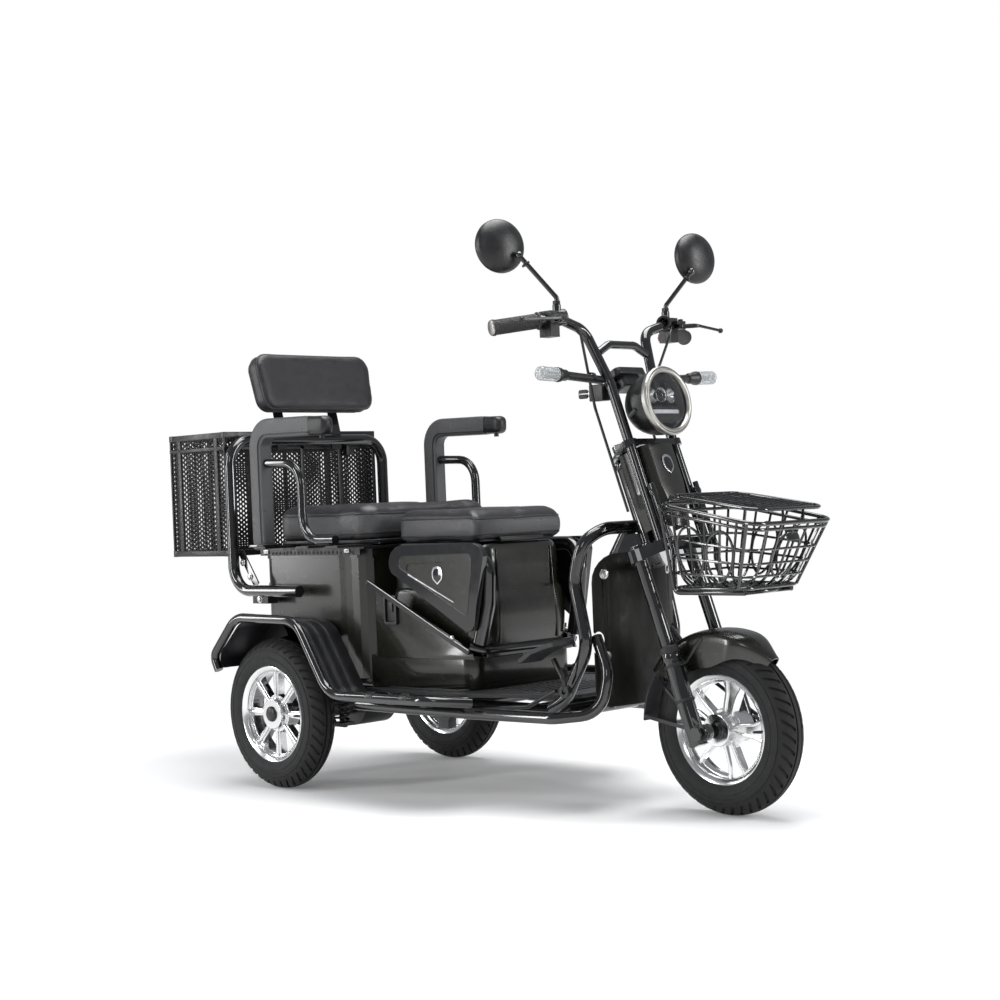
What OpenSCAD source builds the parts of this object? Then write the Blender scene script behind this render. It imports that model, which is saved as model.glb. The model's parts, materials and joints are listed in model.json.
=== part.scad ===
// Electric adult tricycle: one steered front wheel, two driven rear wheels,
// a driver's seat on the battery box and a passenger's seat on the rear box.
// X points forward, Y to the rider's left, Z up. The origin lies on the ground,
// on the centre plane, half way along the overall length.

/* [Wheels] */
// Outside diameter of every tyre
tyre_d = 360; // [352:1:364]
// Width of every tyre
tyre_w = 78; // [70:1:82]
// Diameter of every rim over its flanges
rim_d = 229; // [222:1:236]
// Distance between the front and the rear axle
wheelbase = 1140; // [1120:5:1160]
// Distance between the centre planes of the rear wheels
track = 560; // [556:2:580]

/* [Steering] */
// Backward lean of the steering axis
rake = 20; // [18:0.5:22]
// Distance between the two fork legs
fork_w = 170; // [166:1:180]
// Distance between the two handlebar risers
riser_w = 144; // [140:1:150]
// Width of the handlebar over the grips
bar_w = 624; // [600:2:660]
// Diameter of the headlamp rim
lamp_d = 150; // [130:1:156]

/* [Body] */
// Width of the rear box
box_w = 430; // [410:2:436]
// Height of the rear box's upper edge above the ground
box_top = 569; // [560:1:572]
// Width of the driver's seat
driver_w = 300; // [280:2:320]
// Width of the passenger's seat
passenger_w = 440; // [400:2:450]
// Distance between the armrests
armrest_gap = 572; // [560:2:590]

/* [Baskets] */
// Width of the front basket at its upper rim
front_basket_w = 298; // [270:2:310]
// Width of the rear basket
rear_basket_w = 500; // [460:2:510]
// Depth of the rear basket
rear_basket_depth = 239; // [200:1:239]

/* [Tubes] */
// Radius of the main frame tubes
frame_r = 15; // [13:0.5:16]
// Radius of the front guard and the rear roll tube
guard_r = 14; // [12:0.5:15]
// Radius of the handlebar tube
bar_r = 11; // [10:0.25:11.5]

/* [Hidden] */
$fn = 48;

paint_black = [0.05, 0.05, 0.055];
paint_olive = [0.13, 0.13, 0.10];
plastic_black = [0.08, 0.08, 0.085];
rubber_black = [0.06, 0.06, 0.06];
leather_black = [0.10, 0.10, 0.11];
alloy = [0.80, 0.80, 0.80];
clear = [0.85, 0.88, 0.90, 0.6];

front_x = 705;
rear_x = front_x - wheelbase;
axle_z = tyre_d / 2;
wheel_y = track / 2;
rim_r = rim_d / 2;

// The steering axis passes through this point on the centre plane.
head_x = 470;
head_z = 680;
// Places on the steering, measured forward of the axis and up along it.
leg_u = 30;
riser_u = 88;
axle_u = (front_x - head_x) * cos(rake) + (axle_z - head_z) * sin(rake);
axle_w = (axle_z - head_z) * cos(rake) - (front_x - head_x) * sin(rake);
crown_w = -172;
bridge_w = 66;
leg_v = fork_w / 2;
riser_v = riser_w / 2;

stanchion_r = 14;
slider_r = 19;
spindle_r = 8;
running_gap = 0.05;
weld = 1;

// ---------- helpers ----------

function unit(v) = v / norm(v);
function turn(a, b, c) = acos(unit(b - a) * unit(c - b));
function setback(a, b, c, bend) = bend * tan(turn(a, b, c) / 2);
function mirror_y(p) = [for (q = p) [q[0], -q[1], q[2]]];
function arc(cx, cy, r, a0, a1, n = 6) =
    [for (i = [0:n]) [cx + r * cos(a0 + (a1 - a0) * i / n), cy + r * sin(a0 + (a1 - a0) * i / n)]];
// Rounded rectangle from corner (x0, y0) to corner (x1, y1).
function rounded(x0, y0, x1, y1, r) = concat(
    arc(x1 - r, y1 - r, r, 0, 90), arc(x0 + r, y1 - r, r, 90, 180),
    arc(x0 + r, y0 + r, r, 180, 270), arc(x1 - r, y0 + r, r, 270, 360));
// Closed strip of thickness t on the left of the open line p.
function normal(p, i) =
    let (a = p[max(i - 1, 0)], b = p[min(i + 1, len(p) - 1)], d = unit(b - a)) [-d[1], d[0]];
function strip(p, t) = concat(p,
    [for (i = [len(p) - 1:-1:0]) p[i] + normal(p, i) * t]);

// Straight rod from a to b.
module rod(a, b, r) {
    d = b - a;
    translate(a)
        rotate([0, acos(d[2] / norm(d)), atan2(d[1], d[0])])
            cylinder(r = r, h = norm(d));
}

// Part of a ring that joins two straight rods at point b.
module elbow(a, b, c, r, bend) {
    d = unit(b - a);
    n = unit(cross(d, unit(c - b)));
    x = -cross(n, d);
    o = b - d * setback(a, b, c, bend) - x * bend;
    multmatrix([[x[0], d[0], n[0], o[0]], [x[1], d[1], n[1], o[1]],
                [x[2], d[2], n[2], o[2]], [0, 0, 0, 1]])
        rotate_extrude(angle = turn(a, b, c))
            translate([bend, 0])
                circle(r = r + 0.2);
}

// Round tube along the points p, bent to the radius bend at each inner point.
// Each straight runs on into its bend by the length of the weld.
module bent_tube(p, r, bend) {
    n = len(p);
    for (i = [0:n - 2]) {
        d = unit(p[i + 1] - p[i]);
        s0 = i == 0 ? 0 : setback(p[i - 1], p[i], p[i + 1], bend) - weld;
        s1 = i == n - 2 ? 0 : setback(p[i], p[i + 1], p[i + 2], bend) - weld;
        rod(p[i] + d * s0, p[i + 1] - d * s1, r);
    }
    for (i = [1:n - 2]) elbow(p[i - 1], p[i], p[i + 1], r, bend);
}

// Plate with the outline p in the XZ plane, from y0 to y1.
module side_plate(p, y0, y1) {
    translate([0, y1, 0])
        rotate([90, 0, 0])
            linear_extrude(y1 - y0)
                polygon(p);
}

// Plate with the outline p in the YZ plane, from x0 to x1.
module front_plate(p, x0, x1) {
    translate([x0, 0, 0])
        rotate([90, 0, 90])
            linear_extrude(x1 - x0)
                polygon(p);
}

// Puts its children into the leaning frame of the steering axis.
module on_steering() {
    translate([head_x, 0, head_z])
        rotate([0, -rake, 0])
            children();
}
// The same place in the tricycle's own frame.
function steer(u, v, w) = [head_x + u * cos(rake) - w * sin(rake), v,
                           head_z + u * sin(rake) + w * cos(rake)];

module both_sides() {
    children();
    mirror([0, 1, 0]) children();
}

// ---------- frame ----------

// Two rails run under the floor and step up over the rear axle.
rail_y = 110;
rail_z = 205;
rear_rail_z = 248;
head_tube_low = -134;

module main_frame() {
    toe_bar = [370, 133, rail_z + 6];
    color(paint_black) {
        both_sides()
            bent_tube([[-560, rail_y, rear_rail_z], [-250, rail_y, rear_rail_z], [-180, rail_y, rail_z],
                       [380, rail_y, rail_z]], frame_r, 50);
        rod([-540, -rail_y, rear_rail_z], [-540, rail_y, rear_rail_z], frame_r - 2);
        for (x = [20, 250]) rod([x, -rail_y, rail_z], [x, rail_y, rail_z], frame_r - 2);
        rod([toe_bar[0], -toe_bar[1], toe_bar[2]], toe_bar, frame_r);
        bent_tube([[toe_bar[0], 0, toe_bar[2]], [415, 0, 330], [405, 0, 520], [452, 0, 589]], frame_r + 4, 70);
        // Gusset plates between the spine and the head tube.
        both_sides() side_plate([[412, 510], [440, 530], [505, 562], [497, 586], [455, 586]], 14.5, 18.5);
    }
}

module head_tube() {
    color(paint_black) on_steering() {
        difference() {
            union() {
                translate([0, 0, head_tube_low]) cylinder(r = 20, h = 196);
                for (w = [head_tube_low, 50]) translate([0, 0, w]) cylinder(r = 24, h = 12);
            }
            translate([0, 0, head_tube_low - 6]) cylinder(r = 15, h = 210);
        }
    }
}

hoop_y = 146;
module guard_hoop() {
    half = [[340, hoop_y, 216], [384, hoop_y, 240], [452, hoop_y, 352], [421, hoop_y, 490],
            [444, hoop_y, 572], [462, 95, 602]];
    right = mirror_y(half);
    color(paint_black)
        bent_tube(concat(half, [for (i = [len(half) - 1:-1:0]) right[i]]), guard_r, 42);
}

// Floor loops beside the feet and the edge tubes of the rear fenders.
loop_r = 12.5;
loop_top = [452, 118, 372];
loop_knee = [500, 138, 300];
edge_y = 340;
edge_r = 11;
module side_tubes() {
    floor_loop = [loop_top, loop_knee, [486, 150, 214], [400, 205, 205], [170, 236, 207],
                  [-200, 236, 207]];
    fender_edge = [[-600, edge_y, 282], [-618, edge_y, 316], [-522, edge_y, 413], [-290, edge_y, 409],
                   [-178, edge_y, 240], [160, edge_y, 244], [196, 250, 232]];
    color(paint_black) both_sides() {
        bent_tube(floor_loop, loop_r, 36);
        bent_tube(fender_edge, edge_r, 30);
    }
}

// Curved shield in front of the rider's legs, with holes for screws and for the floor loops.
shield_r = 350;
shield_x = 484;
shield_t = 4;
module leg_shield() {
    outline = concat(arc(70, 488, 60, 0, 90), arc(-70, 488, 60, 90, 180),
                     arc(-98, 254, 32, 180, 270), arc(98, 254, 32, 270, 360));
    color(paint_olive) difference() {
        intersection() {
            translate([shield_x - shield_r, 0, 200]) difference() {
                cylinder(r = shield_r, h = 400, $fn = 96);
                translate([0, 0, -1]) cylinder(r = shield_r - shield_t, h = 402, $fn = 96);
            }
            front_plate(outline, 440, 510);
        }
        for (y = [-104, 104], z = [330, 505]) translate([430, y, z])
            rotate([0, 90, 0]) cylinder(r = 4, h = 80);
        both_sides() rod(loop_top - 0.8 * (loop_knee - loop_top), loop_knee, loop_r + 3);
    }
}

board_z = 238;
module floor_board() {
    outline = concat([[-186, 222], [-186, -222]], arc(125, -192, 30, 270, 300, 2),
                     arc(370, -104, 22, 300, 360, 4), [[392, -24], [357, -24], [357, 24], [392, 24]],
                     arc(370, 104, 22, 0, 60, 4), arc(125, 192, 30, 60, 90, 2));
    color(plastic_black) {
        translate([0, 0, board_z]) linear_extrude(8) polygon(outline);
        for (i = [0:7]) translate([150 + 24 * i, 0, board_z + 7.5])
            linear_extrude(2.5) square([10, 230], center = true);
    }
}

// ---------- body ----------

box_bottom = 264;
box_rear = -572;
box_front = -186;
wall = 4;
function box_outline(inset) = let (h = box_w / 2 - inset) concat(
    [[box_front - inset, h - 29]], [for (i = [5:-1:0]) [-277 + 160 * sin(7 * i), h - 160 * (1 - cos(7 * i))]],
    arc(box_rear + 34, h - 34 + inset, 34 - inset, 90, 180, 5),
    arc(box_rear + 34, -h + 34 - inset, 34 - inset, 180, 270, 5),
    [for (i = [0:5]) [-277 + 160 * sin(7 * i), -h + 160 * (1 - cos(7 * i))]],
    [[box_front - inset, -h + 29]]);

module rear_box() {
    color(paint_olive) difference() {
        union() {
            translate([0, 0, box_bottom]) linear_extrude(box_top - 21 - box_bottom) polygon(box_outline(3));
            translate([0, 0, box_top - 21]) linear_extrude(21) polygon(box_outline(0));
        }
        translate([0, 0, box_bottom + wall]) linear_extrude(400) polygon(box_outline(3 + wall));
    }
}

// Sides of the battery box come together towards the front.
side_lean = 6.8;
lower_front = 118;
module battery_box() {
    foot = concat([[-184, 203], [-184, -203]], arc(98, -152, 20, 264, 360, 4), arc(98, 152, 20, 0, 96, 4));
    side = [[-190, 246], [130, 246], [130, 324], [100, 334], [-190, 488]];
    tank = concat([[-150, 150], [-150, -150]], arc(110, -130, 20, 270, 360, 4), arc(110, 130, 20, 0, 90, 4));
    color(paint_olive) difference() {
        union() {
            intersection() {
                translate([0, 0, 246]) linear_extrude(300) polygon(foot);
                side_plate(side, -230, 230);
            }
            translate([0, 0, 330]) linear_extrude(244) polygon(tank);
            translate([0, 0, 476]) linear_extrude(5) polygon([for (p = tank) [p[0] + 2, p[1] * 1.01]]);
        }
        translate([-144, -140, 252]) cube([250, 280, 400]);
    }
}

// Black band between the lower body and the tank, on both sides and round the front.
module body_trim() {
    band = strip([[-184, 486], [70, 351], [118, 327]], 13);
    color(plastic_black) {
        both_sides() translate([-184, 205.5, 0]) rotate([0, 0, -side_lean]) translate([184, 0, 0])
            side_plate(band, 0, 9);
        translate([lower_front + 13, -140, 326]) cube([10, 280, 16]);
        translate([lower_front + 1, -140, 318]) cube([22, 280, 8.5]);
    }
}

module side_cover() {
    edge = concat(arc(-84, 536, 40, 100, 215, 6), arc(104, 399, 18, 240, 340, 5), arc(122, 545, 34, 5, 90, 6));
    field = concat(arc(-75, 534, 18, 100, 215, 5), arc(98, 425, 8, 240, 340, 4), arc(108, 540, 16, 5, 90, 5));
    recess = concat(arc(-62, 524, 10, 100, 215, 4), arc(66, 460, 6, 240, 340, 3), arc(76, 530, 8, 5, 90, 4));
    translate([-184, 0, 0]) rotate([0, 0, -side_lean]) translate([184, 0, 0]) {
        difference() {
            side_plate(edge, 206, 222);
            side_plate(field, 217, 223);
        }
        difference() {
            side_plate(field, 216.5, 221);
            side_plate(recess, 219, 222);
        }
        side_plate(field, 200, 206.5);
    }
}
module side_cover_left() { color(plastic_black) side_cover(); }
module side_cover_right() { color(plastic_black) mirror([0, 1, 0]) side_cover(); }

module battery_pack() {
    color(plastic_black) {
        for (i = [0:3]) translate([-120 + 52 * i, -100, 253]) cube([48, 200, 170]);
        for (i = [0:3], y = [-70, 70]) translate([-96 + 52 * i, y, 422.5]) cylinder(r = 6, h = 10);
    }
}

module controller() {
    color(alloy) {
        translate([-420, -70, box_bottom + wall + 0.5]) cube([150, 140, 8]);
        for (i = [0:6]) translate([-420, -66 + 20 * i, box_bottom + wall + 8]) cube([150, 8, 30]);
    }
}

// Sheet that arches over a rear wheel and runs on forward beside the floor, with three ribs.
fender_in = 224;
module rear_fender() {
    top = [[-604, 286], [-612, 318], [-518, 405], [-292, 401], [-184, 240], [-170, 232], [150, 236]];
    side_plate(strip(top, -4), fender_in, edge_y - edge_r - 0.5);
    for (y = [248, 277, 306]) side_plate(strip([for (p = top) p + [0, 0.5]], 3), y, y + 12);
    side_plate(concat([for (i = [0:4]) top[i]], [[-250, 262], [-300, 352], [-500, 354], [-560, 290]]),
               fender_in, fender_in + 3);
}
module rear_fender_left() { color(plastic_black) rear_fender(); }
module rear_fender_right() { color(plastic_black) mirror([0, 1, 0]) rear_fender(); }

module tail_lamps() {
    color([0.55, 0.04, 0.04]) both_sides() {
        translate([-590, 150, 470]) rotate([0, 90, 0]) cylinder(r = 32, h = 17);
        translate([-598, 150, 470]) rotate([0, 90, 0]) cylinder(r = 28, h = 8.5);
    }
}

// ---------- seats and rear superstructure ----------

module roll_tube() {
    leg = 252;
    x = -640;
    color(paint_black) {
        bent_tube([[-382, -leg, 471], [x, -leg, 471], [x, -leg, 846], [x, leg, 846], [x, leg, 471],
                   [-382, leg, 471]], guard_r, 62);
        both_sides() {
            translate([-565, 224, 440]) cube([60, 30, 22]);
            translate([-540, 211, 462]) cube([24, 40, 9]);
            side_plate(strip([[-634, 560], [-575, 478]], 20), 236, 240);
        }
        // Upright bars that hold the backrest.
        for (y = [-90, 90]) {
            side_plate(strip([[-632, 822], [-632, 860], [-668, 1000]], 5), y - 16, y + 16);
        }
    }
}

basket_back = -903;
basket_low = 556;
basket_high = 870;
module rear_basket() {
    front = basket_back + rear_basket_depth;
    half = rear_basket_w / 2;
    post = 16;
    color(paint_black) {
        difference() {
            translate([basket_back + 3, -half + 3, basket_low + 2])
                cube([rear_basket_depth - 6, 2 * half - 6, basket_high - basket_low - 4]);
            translate([basket_back + 5, -half + 5, basket_low + 4])
                cube([rear_basket_depth - 10, 2 * half - 10, 400]);
        }
        for (z = [basket_low, basket_high - post]) {
            for (x = [basket_back, front - post]) translate([x, -half, z]) cube([post, 2 * half, post]);
            for (y = [-half, half - post]) translate([basket_back, y, z]) cube([rear_basket_depth, post, post]);
        }
        for (x = [basket_back + 24, front - 24 - post], y = [-half, half - 8])
            translate([x, y, basket_low]) cube([post, 8, basket_high - basket_low]);
        for (y = [-150, 150]) translate([front - 4, y - 12, basket_low + 250]) cube([18, 24, 30]);
    }
}

deck_z = box_top + 1;
post_x = -468;
arm_y = armrest_gap / 2;
module seat_deck() {
    color(paint_black) {
        difference() {
            translate([-588, -221, deck_z]) cube([412, 442, 6]);
            translate([-550, -170, deck_z - 1]) cube([340, 340, 8]);
        }
        both_sides() {
            for (x = [post_x - 26, -330, -222]) translate([x, 190, deck_z + 5.5]) cube([44, 108, 5.5]);
            translate([-570, 216, deck_z - 14]) cube([380, 5, 16]);
        }
    }
}

module seat_guards() {
    color(paint_black) both_sides()
        bent_tube([[post_x + 20.8, arm_y, 782], [-316, arm_y, 776], [-316, arm_y, deck_z + 24],
                   [-198, arm_y, deck_z + 24]], 11, 34);
}

module armrest() {
    color(leather_black)
        bent_tube([[post_x, arm_y, deck_z + 12], [post_x, arm_y, 868], [-204, arm_y, 861]], 20, 46);
}
module armrest_left() { armrest(); }
module armrest_right() { mirror([0, 1, 0]) armrest(); }

module backrest_pad() {
    outline = concat(arc(150, 40, 38, 0, 90), arc(-150, 40, 38, 90, 180),
                     arc(-148, -36, 34, 180, 270), arc(148, -36, 34, 270, 360));
    color(leather_black) translate([-632, 0, 981]) rotate([0, -13, 0])
        front_plate(outline, -3, 52);
}

module passenger_seat() {
    outline = concat(arc(-225, -160, 58, 270, 360), arc(-225, 160, 58, 0, 90),
                     arc(-505, 180, 38, 90, 180), arc(-505, -180, 38, 180, 270));
    color(leather_black) translate([0, 0, 590]) linear_extrude(86)
        polygon([for (p = outline) [p[0], p[1] * passenger_w / 436]]);
    color(plastic_black) translate([0, 0, deck_z + 12]) linear_extrude(8.5)
        polygon([for (p = outline) [-355 + (p[0] + 355) * 0.96, p[1] * 0.94]]);
    color(plastic_black) translate([-556, -80, deck_z + 7]) cube([60, 160, 13.5]);
}

driver_hinge = [123, 0, 582];
module driver_seat() {
    side = concat(arc(104, 622, 30, 0, 90), arc(-138, 630, 18, 90, 180), [[-156, 590], [132, 586]]);
    color(leather_black) side_plate(side, -driver_w / 2, driver_w / 2);
    color(plastic_black) translate([-140, -120, 578]) cube([250, 240, 12]);
    color(plastic_black) translate([108, -70, 580]) cube([15, 140, 8]);
    color(plastic_black) rod([driver_hinge[0], -70, driver_hinge[2]], driver_hinge + [0, 70, 0], 6);
}

// ---------- rear axle and springs ----------

// Springs and dampers between the frame and the axle, and how far the axle can rise.
shock_x = rear_x + 78;
shock_y = 158;
rod_r = 6;
spring_seat = axle_z - 32;
spring_top = 214;
coils = 6;
module shock_bodies() {
    color(alloy) both_sides() difference() {
        union() {
            translate([shock_x, shock_y, 225]) cylinder(r = 15, h = 36);
            translate([shock_x, shock_y, spring_top]) cylinder(r = 23, h = 12);
            translate([shock_x - 12, rail_y + frame_r - 2, 238]) cube([24, shock_y - rail_y - frame_r - 8, 16]);
        }
        translate([shock_x, shock_y, 200]) cylinder(r = rod_r + running_gap, h = 57);
    }
}
module shock_springs() {
    pitch = (spring_top - spring_seat - 7) / (coils - 1);
    color(alloy) both_sides() for (i = [0:coils - 1]) translate([shock_x, shock_y, spring_seat + 3.3 + pitch * i])
        rotate_extrude() translate([17, 0]) circle(r = 3);
}

motor_r = 56;
axle_r = 11;
module axle_housing() {
    color(paint_black) {
        translate([rear_x, 0, axle_z]) rotate([-90, 0, 0]) {
            translate([0, 0, -205]) cylinder(r = 27, h = 410);
            translate([0, 0, -60]) cylinder(r = motor_r, h = 100);
            translate([0, 0, 40]) cylinder(r = motor_r - 14, h = 30);
            for (z = [-226, 205]) translate([0, 0, z]) cylinder(r = 36, h = 21);
            translate([0, 0, -304]) cylinder(r = axle_r, h = 608);
        }
        both_sides() {
            translate([shock_x - 22, shock_y - 22, spring_seat - 8]) cube([44, 44, 8]);
            side_plate([[rear_x - 20, axle_z - 22], [rear_x + 40, spring_seat - 12], [shock_x + 16, spring_seat - 12],
                        [shock_x + 16, spring_seat - 7], [rear_x + 54, spring_seat - 2], [rear_x + 24, axle_z + 12]],
                       shock_y - 4, shock_y + 4);
            translate([shock_x, shock_y, spring_seat - 2]) cylinder(r = rod_r, h = 86);
        }
    }
}

// ---------- wheels ----------

module tyre() {
    half = tyre_w / 2;
    crown = tyre_d / 2;
    mid = rim_r + 24.5;
    rotate_extrude($fn = 96) polygon(concat(
        [for (a = [-126.5:11.5:126.5]) [mid + (crown - mid) * cos(a), half * sin(a)]]));
}

// Rim with a barrel, a spoked disc with windows, and a hub with a bore for the axle.
module rim(windows, hub_r, hub_half, bore, gap) {
    difference() {
        union() {
            rotate_extrude($fn = 96) polygon([[rim_r - 12, -26], [rim_r - 3, -30], [rim_r - 0.6, -30],
                [rim_r - 0.6, 30], [rim_r - 3, 30], [rim_r - 12, 26], [rim_r - 12, 22], [rim_r - 9, 16],
                [rim_r - 9, -16], [rim_r - 12, -22]]);
            translate([0, 0, -6]) cylinder(r = rim_r - 7, h = 20, $fn = 96);
            translate([0, 0, -hub_half]) cylinder(r = hub_r, h = 2 * hub_half);
        }
        for (i = [0:windows - 1]) rotate([0, 0, 360 / windows * (i + 0.5)]) translate([0, 0, -20])
            linear_extrude(50) polygon(concat(arc(0, 0, hub_r + 9, gap, -gap, 2),
                arc(0, 0, rim_r - 18, -gap * 1.25, gap * 1.25, 6)));
        translate([0, 0, -100]) cylinder(r = bore, h = 200);
    }
}

module front_tyre() {
    color(rubber_black) translate([front_x, 0, axle_z]) rotate([90, 0, 0]) tyre();
}
module front_rim() {
    color(alloy) translate([front_x, 0, axle_z]) rotate([90, 0, 0]) rim(5, 34, 44, spindle_r + running_gap, 21);
}
module rear_tyre_left() {
    color(rubber_black) translate([rear_x, wheel_y, axle_z]) rotate([-90, 0, 0]) tyre();
}
module rear_tyre_right() {
    color(rubber_black) translate([rear_x, -wheel_y, axle_z]) rotate([90, 0, 0]) tyre();
}
module rear_rim_left() {
    color(alloy) translate([rear_x, wheel_y, axle_z]) rotate([-90, 0, 0]) rim(8, 36, 30, axle_r + running_gap, 13);
}
module rear_rim_right() {
    color(alloy) translate([rear_x, -wheel_y, axle_z]) rotate([90, 0, 0]) rim(8, 36, 30, axle_r + running_gap, 13);
}

// ---------- steering ----------

module steering_stem() {
    crown = concat(arc(0, 0, 24, 150, 210, 2), arc(leg_u, -leg_v, 23, 200, 320, 5),
                   arc(riser_u, -riser_v, 17, 290, 400, 5), arc(riser_u, riser_v, 17, -40, 70, 5),
                   arc(leg_u, leg_v, 23, 40, 160, 5));
    bridge = concat(arc(0, 0, 24, 120, 240, 4), arc(riser_u, -riser_v, 17, 250, 400, 6),
                    arc(riser_u, riser_v, 17, -40, 110, 6));
    color(paint_black) on_steering() {
        translate([0, 0, crown_w - 2]) cylinder(r = 12.5, h = bridge_w - crown_w + 24);
        translate([0, 0, crown_w]) linear_extrude(26) polygon(crown);
        difference() {
            translate([0, 0, bridge_w]) linear_extrude(14) polygon(bridge);
            for (s = [-1, 1]) translate([riser_u, s * riser_v, bridge_w - 1]) cylinder(r = bar_r + running_gap, h = 16);
        }
        translate([0, 0, bridge_w + 14]) cylinder(r = 16, h = 14);
        for (s = [-1, 1]) translate([leg_u, s * leg_v, -432]) cylinder(r = stanchion_r, h = 432 + crown_w + 34);
    }
}

clamp_p = [432, 178, 1050];
grip_p = [374, bar_w / 2, 1030];
bar_dir = unit(grip_p - clamp_p);
module handlebar() {
    side = [steer(riser_u, riser_v, crown_w + 26.3), steer(riser_u, riser_v, 215),
            steer(riser_u - 3, 98, 338), clamp_p, grip_p];
    cross_w = 285;
    color(paint_black) {
        both_sides() bent_tube(side, bar_r, 40);
        bent_tube([steer(riser_u, -riser_v - 6, cross_w), steer(riser_u + 4, -42, cross_w + 18),
                   steer(riser_u + 4, 42, cross_w + 18), steer(riser_u, riser_v + 6, cross_w)], 9, 30);
    }
}

module on_bar(side, at) {
    s = side == "left" ? 1 : -1;
    p = clamp_p + bar_dir * at;
    translate([p[0], s * p[1], p[2]])
        rotate([0, acos(bar_dir[2]), atan2(s * bar_dir[1], bar_dir[0])])
            children();
}

grip_len = 112;
module grip(inner) {
    difference() {
        union() {
            cylinder(r = 15.5, h = grip_len - 8);
            cylinder(r = 19, h = 5);
            for (i = [1:8]) translate([0, 0, 4 + i * 11]) cylinder(r = 16.4, h = 5);
            translate([0, 0, grip_len - 8.5]) cylinder(r = 18, h = 8.5);
        }
        translate([0, 0, -1]) cylinder(r = inner, h = grip_len - 5);
    }
}
grip_at = norm(grip_p - clamp_p) - grip_len + 7;
module grip_left() { color(rubber_black) on_bar("left", grip_at) grip(bar_r); }
module throttle_grip() { color(rubber_black) on_bar("right", grip_at) grip(bar_r + running_gap); }

// Centre of the left switch housing, and the lever's pivot ahead of it.
pod_c = clamp_p + bar_dir * (grip_at - 24);
pod_w = 26;
lever_ahead = 36;
module switch_pods() {
    color(plastic_black) for (s = [-1, 1]) {
        difference() {
            union() {
                translate([pod_c[0] - 17, s * pod_c[1] - pod_w / 2, pod_c[2] - 38]) cube([34, pod_w, 55]);
                translate([pod_c[0] + 8, s * pod_c[1] - pod_w / 2, pod_c[2] - 10]) cube([32, pod_w, 18]);
            }
            rod([clamp_p[0], s * clamp_p[1], clamp_p[2]], [grip_p[0], s * grip_p[1], grip_p[2]], bar_r);
            translate([pod_c[0] + 27, s * pod_c[1] - pod_w, pod_c[2] - 7.7]) cube([20, 2 * pod_w, 7.8]);
        }
    }
    // Pocket for the horn button on the left housing.
    color(plastic_black) difference() {
        translate([pod_c[0] - 24, pod_c[1] - 8, pod_c[2] - 33]) cube([7.2, 16, 16]);
        translate([pod_c[0] - 25, pod_c[1], pod_c[2] - 25]) rotate([0, 90, 0]) cylinder(r = 5.4, h = 4.8);
    }
}

module brake_lever(s) {
    p = [[pod_c[0] + 32, s * (pod_c[1] + 2), pod_c[2] - 4], [pod_c[0] + 66, s * (pod_c[1] + 24), pod_c[2] - 4],
         [pod_c[0] + 46, s * (pod_c[1] + 130), pod_c[2] - 10]];
    color(alloy) {
        translate([pod_c[0] + lever_ahead, s * pod_c[1], pod_c[2] - 7]) cylinder(r = 7, h = 6.6);
        bent_tube([p[0] + [4, 0, 0], p[1], p[2]], 3.1, 16);
        translate(p[2]) sphere(r = 6);
    }
}
module brake_lever_left() { brake_lever(1); }
module brake_lever_right() { brake_lever(-1); }

module horn_button() {
    color([0.6, 0.1, 0.08]) translate([pod_c[0] - 28.5, pod_c[1], pod_c[2] - 25])
        rotate([0, 90, 0]) cylinder(r = 5, h = 4.8);
}
module turn_switch() {
    color([0.3, 0.3, 0.3]) translate([pod_c[0] - 24.5, pod_c[1] - 4, pod_c[2] + 2]) cube([7, 8, 6]);
}

// Ball joints of the two mirrors; each mirror is turned to the rider.
mirror_tip_right = [378, -230, 1186];
mirror_tip_left = [470, 230, 1168];
module mirror_stems() {
    color(paint_black) for (s = [-1, 1]) {
        tip = s < 0 ? mirror_tip_right : mirror_tip_left;
        foot = [clamp_p[0], s * clamp_p[1], clamp_p[2] + bar_r];
        bent_tube([foot, foot + [2, 0, 31], tip], 5, 14);
        translate(foot) cylinder(r = 9, h = 17);
        translate(tip) sphere(r = 8);
    }
}

// Round mirror: a domed shell with the glass on its back face.
module mirror_head(at, yaw, lean) {
    translate(at) rotate([0, 0, yaw]) rotate([0, 90 - lean, 0]) difference() {
        rotate_extrude($fn = 64) polygon(concat([[0, -9], [54, -9], [57, -6], [58, 0]],
            arc(0, 0, 58, 0, 60, 6) * [[1, 0], [0, 0.5]], [[0, 28]]));
        translate([0, 0, -12]) cylinder(r = 53, h = 4);
    }
}
module mirror_right() {
    color(paint_black) mirror_head([339, -247, 1209], -14, 4);
}
module mirror_left() {
    color(paint_black) mirror_head([448, 270, 1202], -6, 4);
}

lamp_p = [571, 0, 867];
lamp_tilt = 9;
module on_lamp() translate(lamp_p) rotate([0, 90 - lamp_tilt, 0]) children();
module headlamp_shell() {
    r = lamp_d / 2 - 6;
    color(paint_black) on_lamp() difference() {
        rotate_extrude($fn = 64) polygon(concat([[0, -92], [26, -90]],
            [for (i = [1:6]) [26 + (r - 26) * sin(15 * i), -90 + 74 * (1 - cos(15 * i))]],
            [[r, -4.3], [0, -4.3]]));
        rotate_extrude($fn = 64) polygon([[0, -60], [34, -56], [r - 8, -18], [r - 4, 1], [0, 1]]);
    }
    color(paint_black) on_steering() for (s = [-1, 1])
        translate([riser_u + 4, s * (riser_v - 18), 108]) cube([40, 6, 40]);
}
module headlamp_ring() {
    r = lamp_d / 2;
    color(alloy) on_lamp() rotate_extrude($fn = 64)
        polygon([[r - 10, -3.9], [r, -3.9], [r, 6], [r - 4, 12], [r - 9, 12], [r - 12, 5]]);
}
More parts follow.
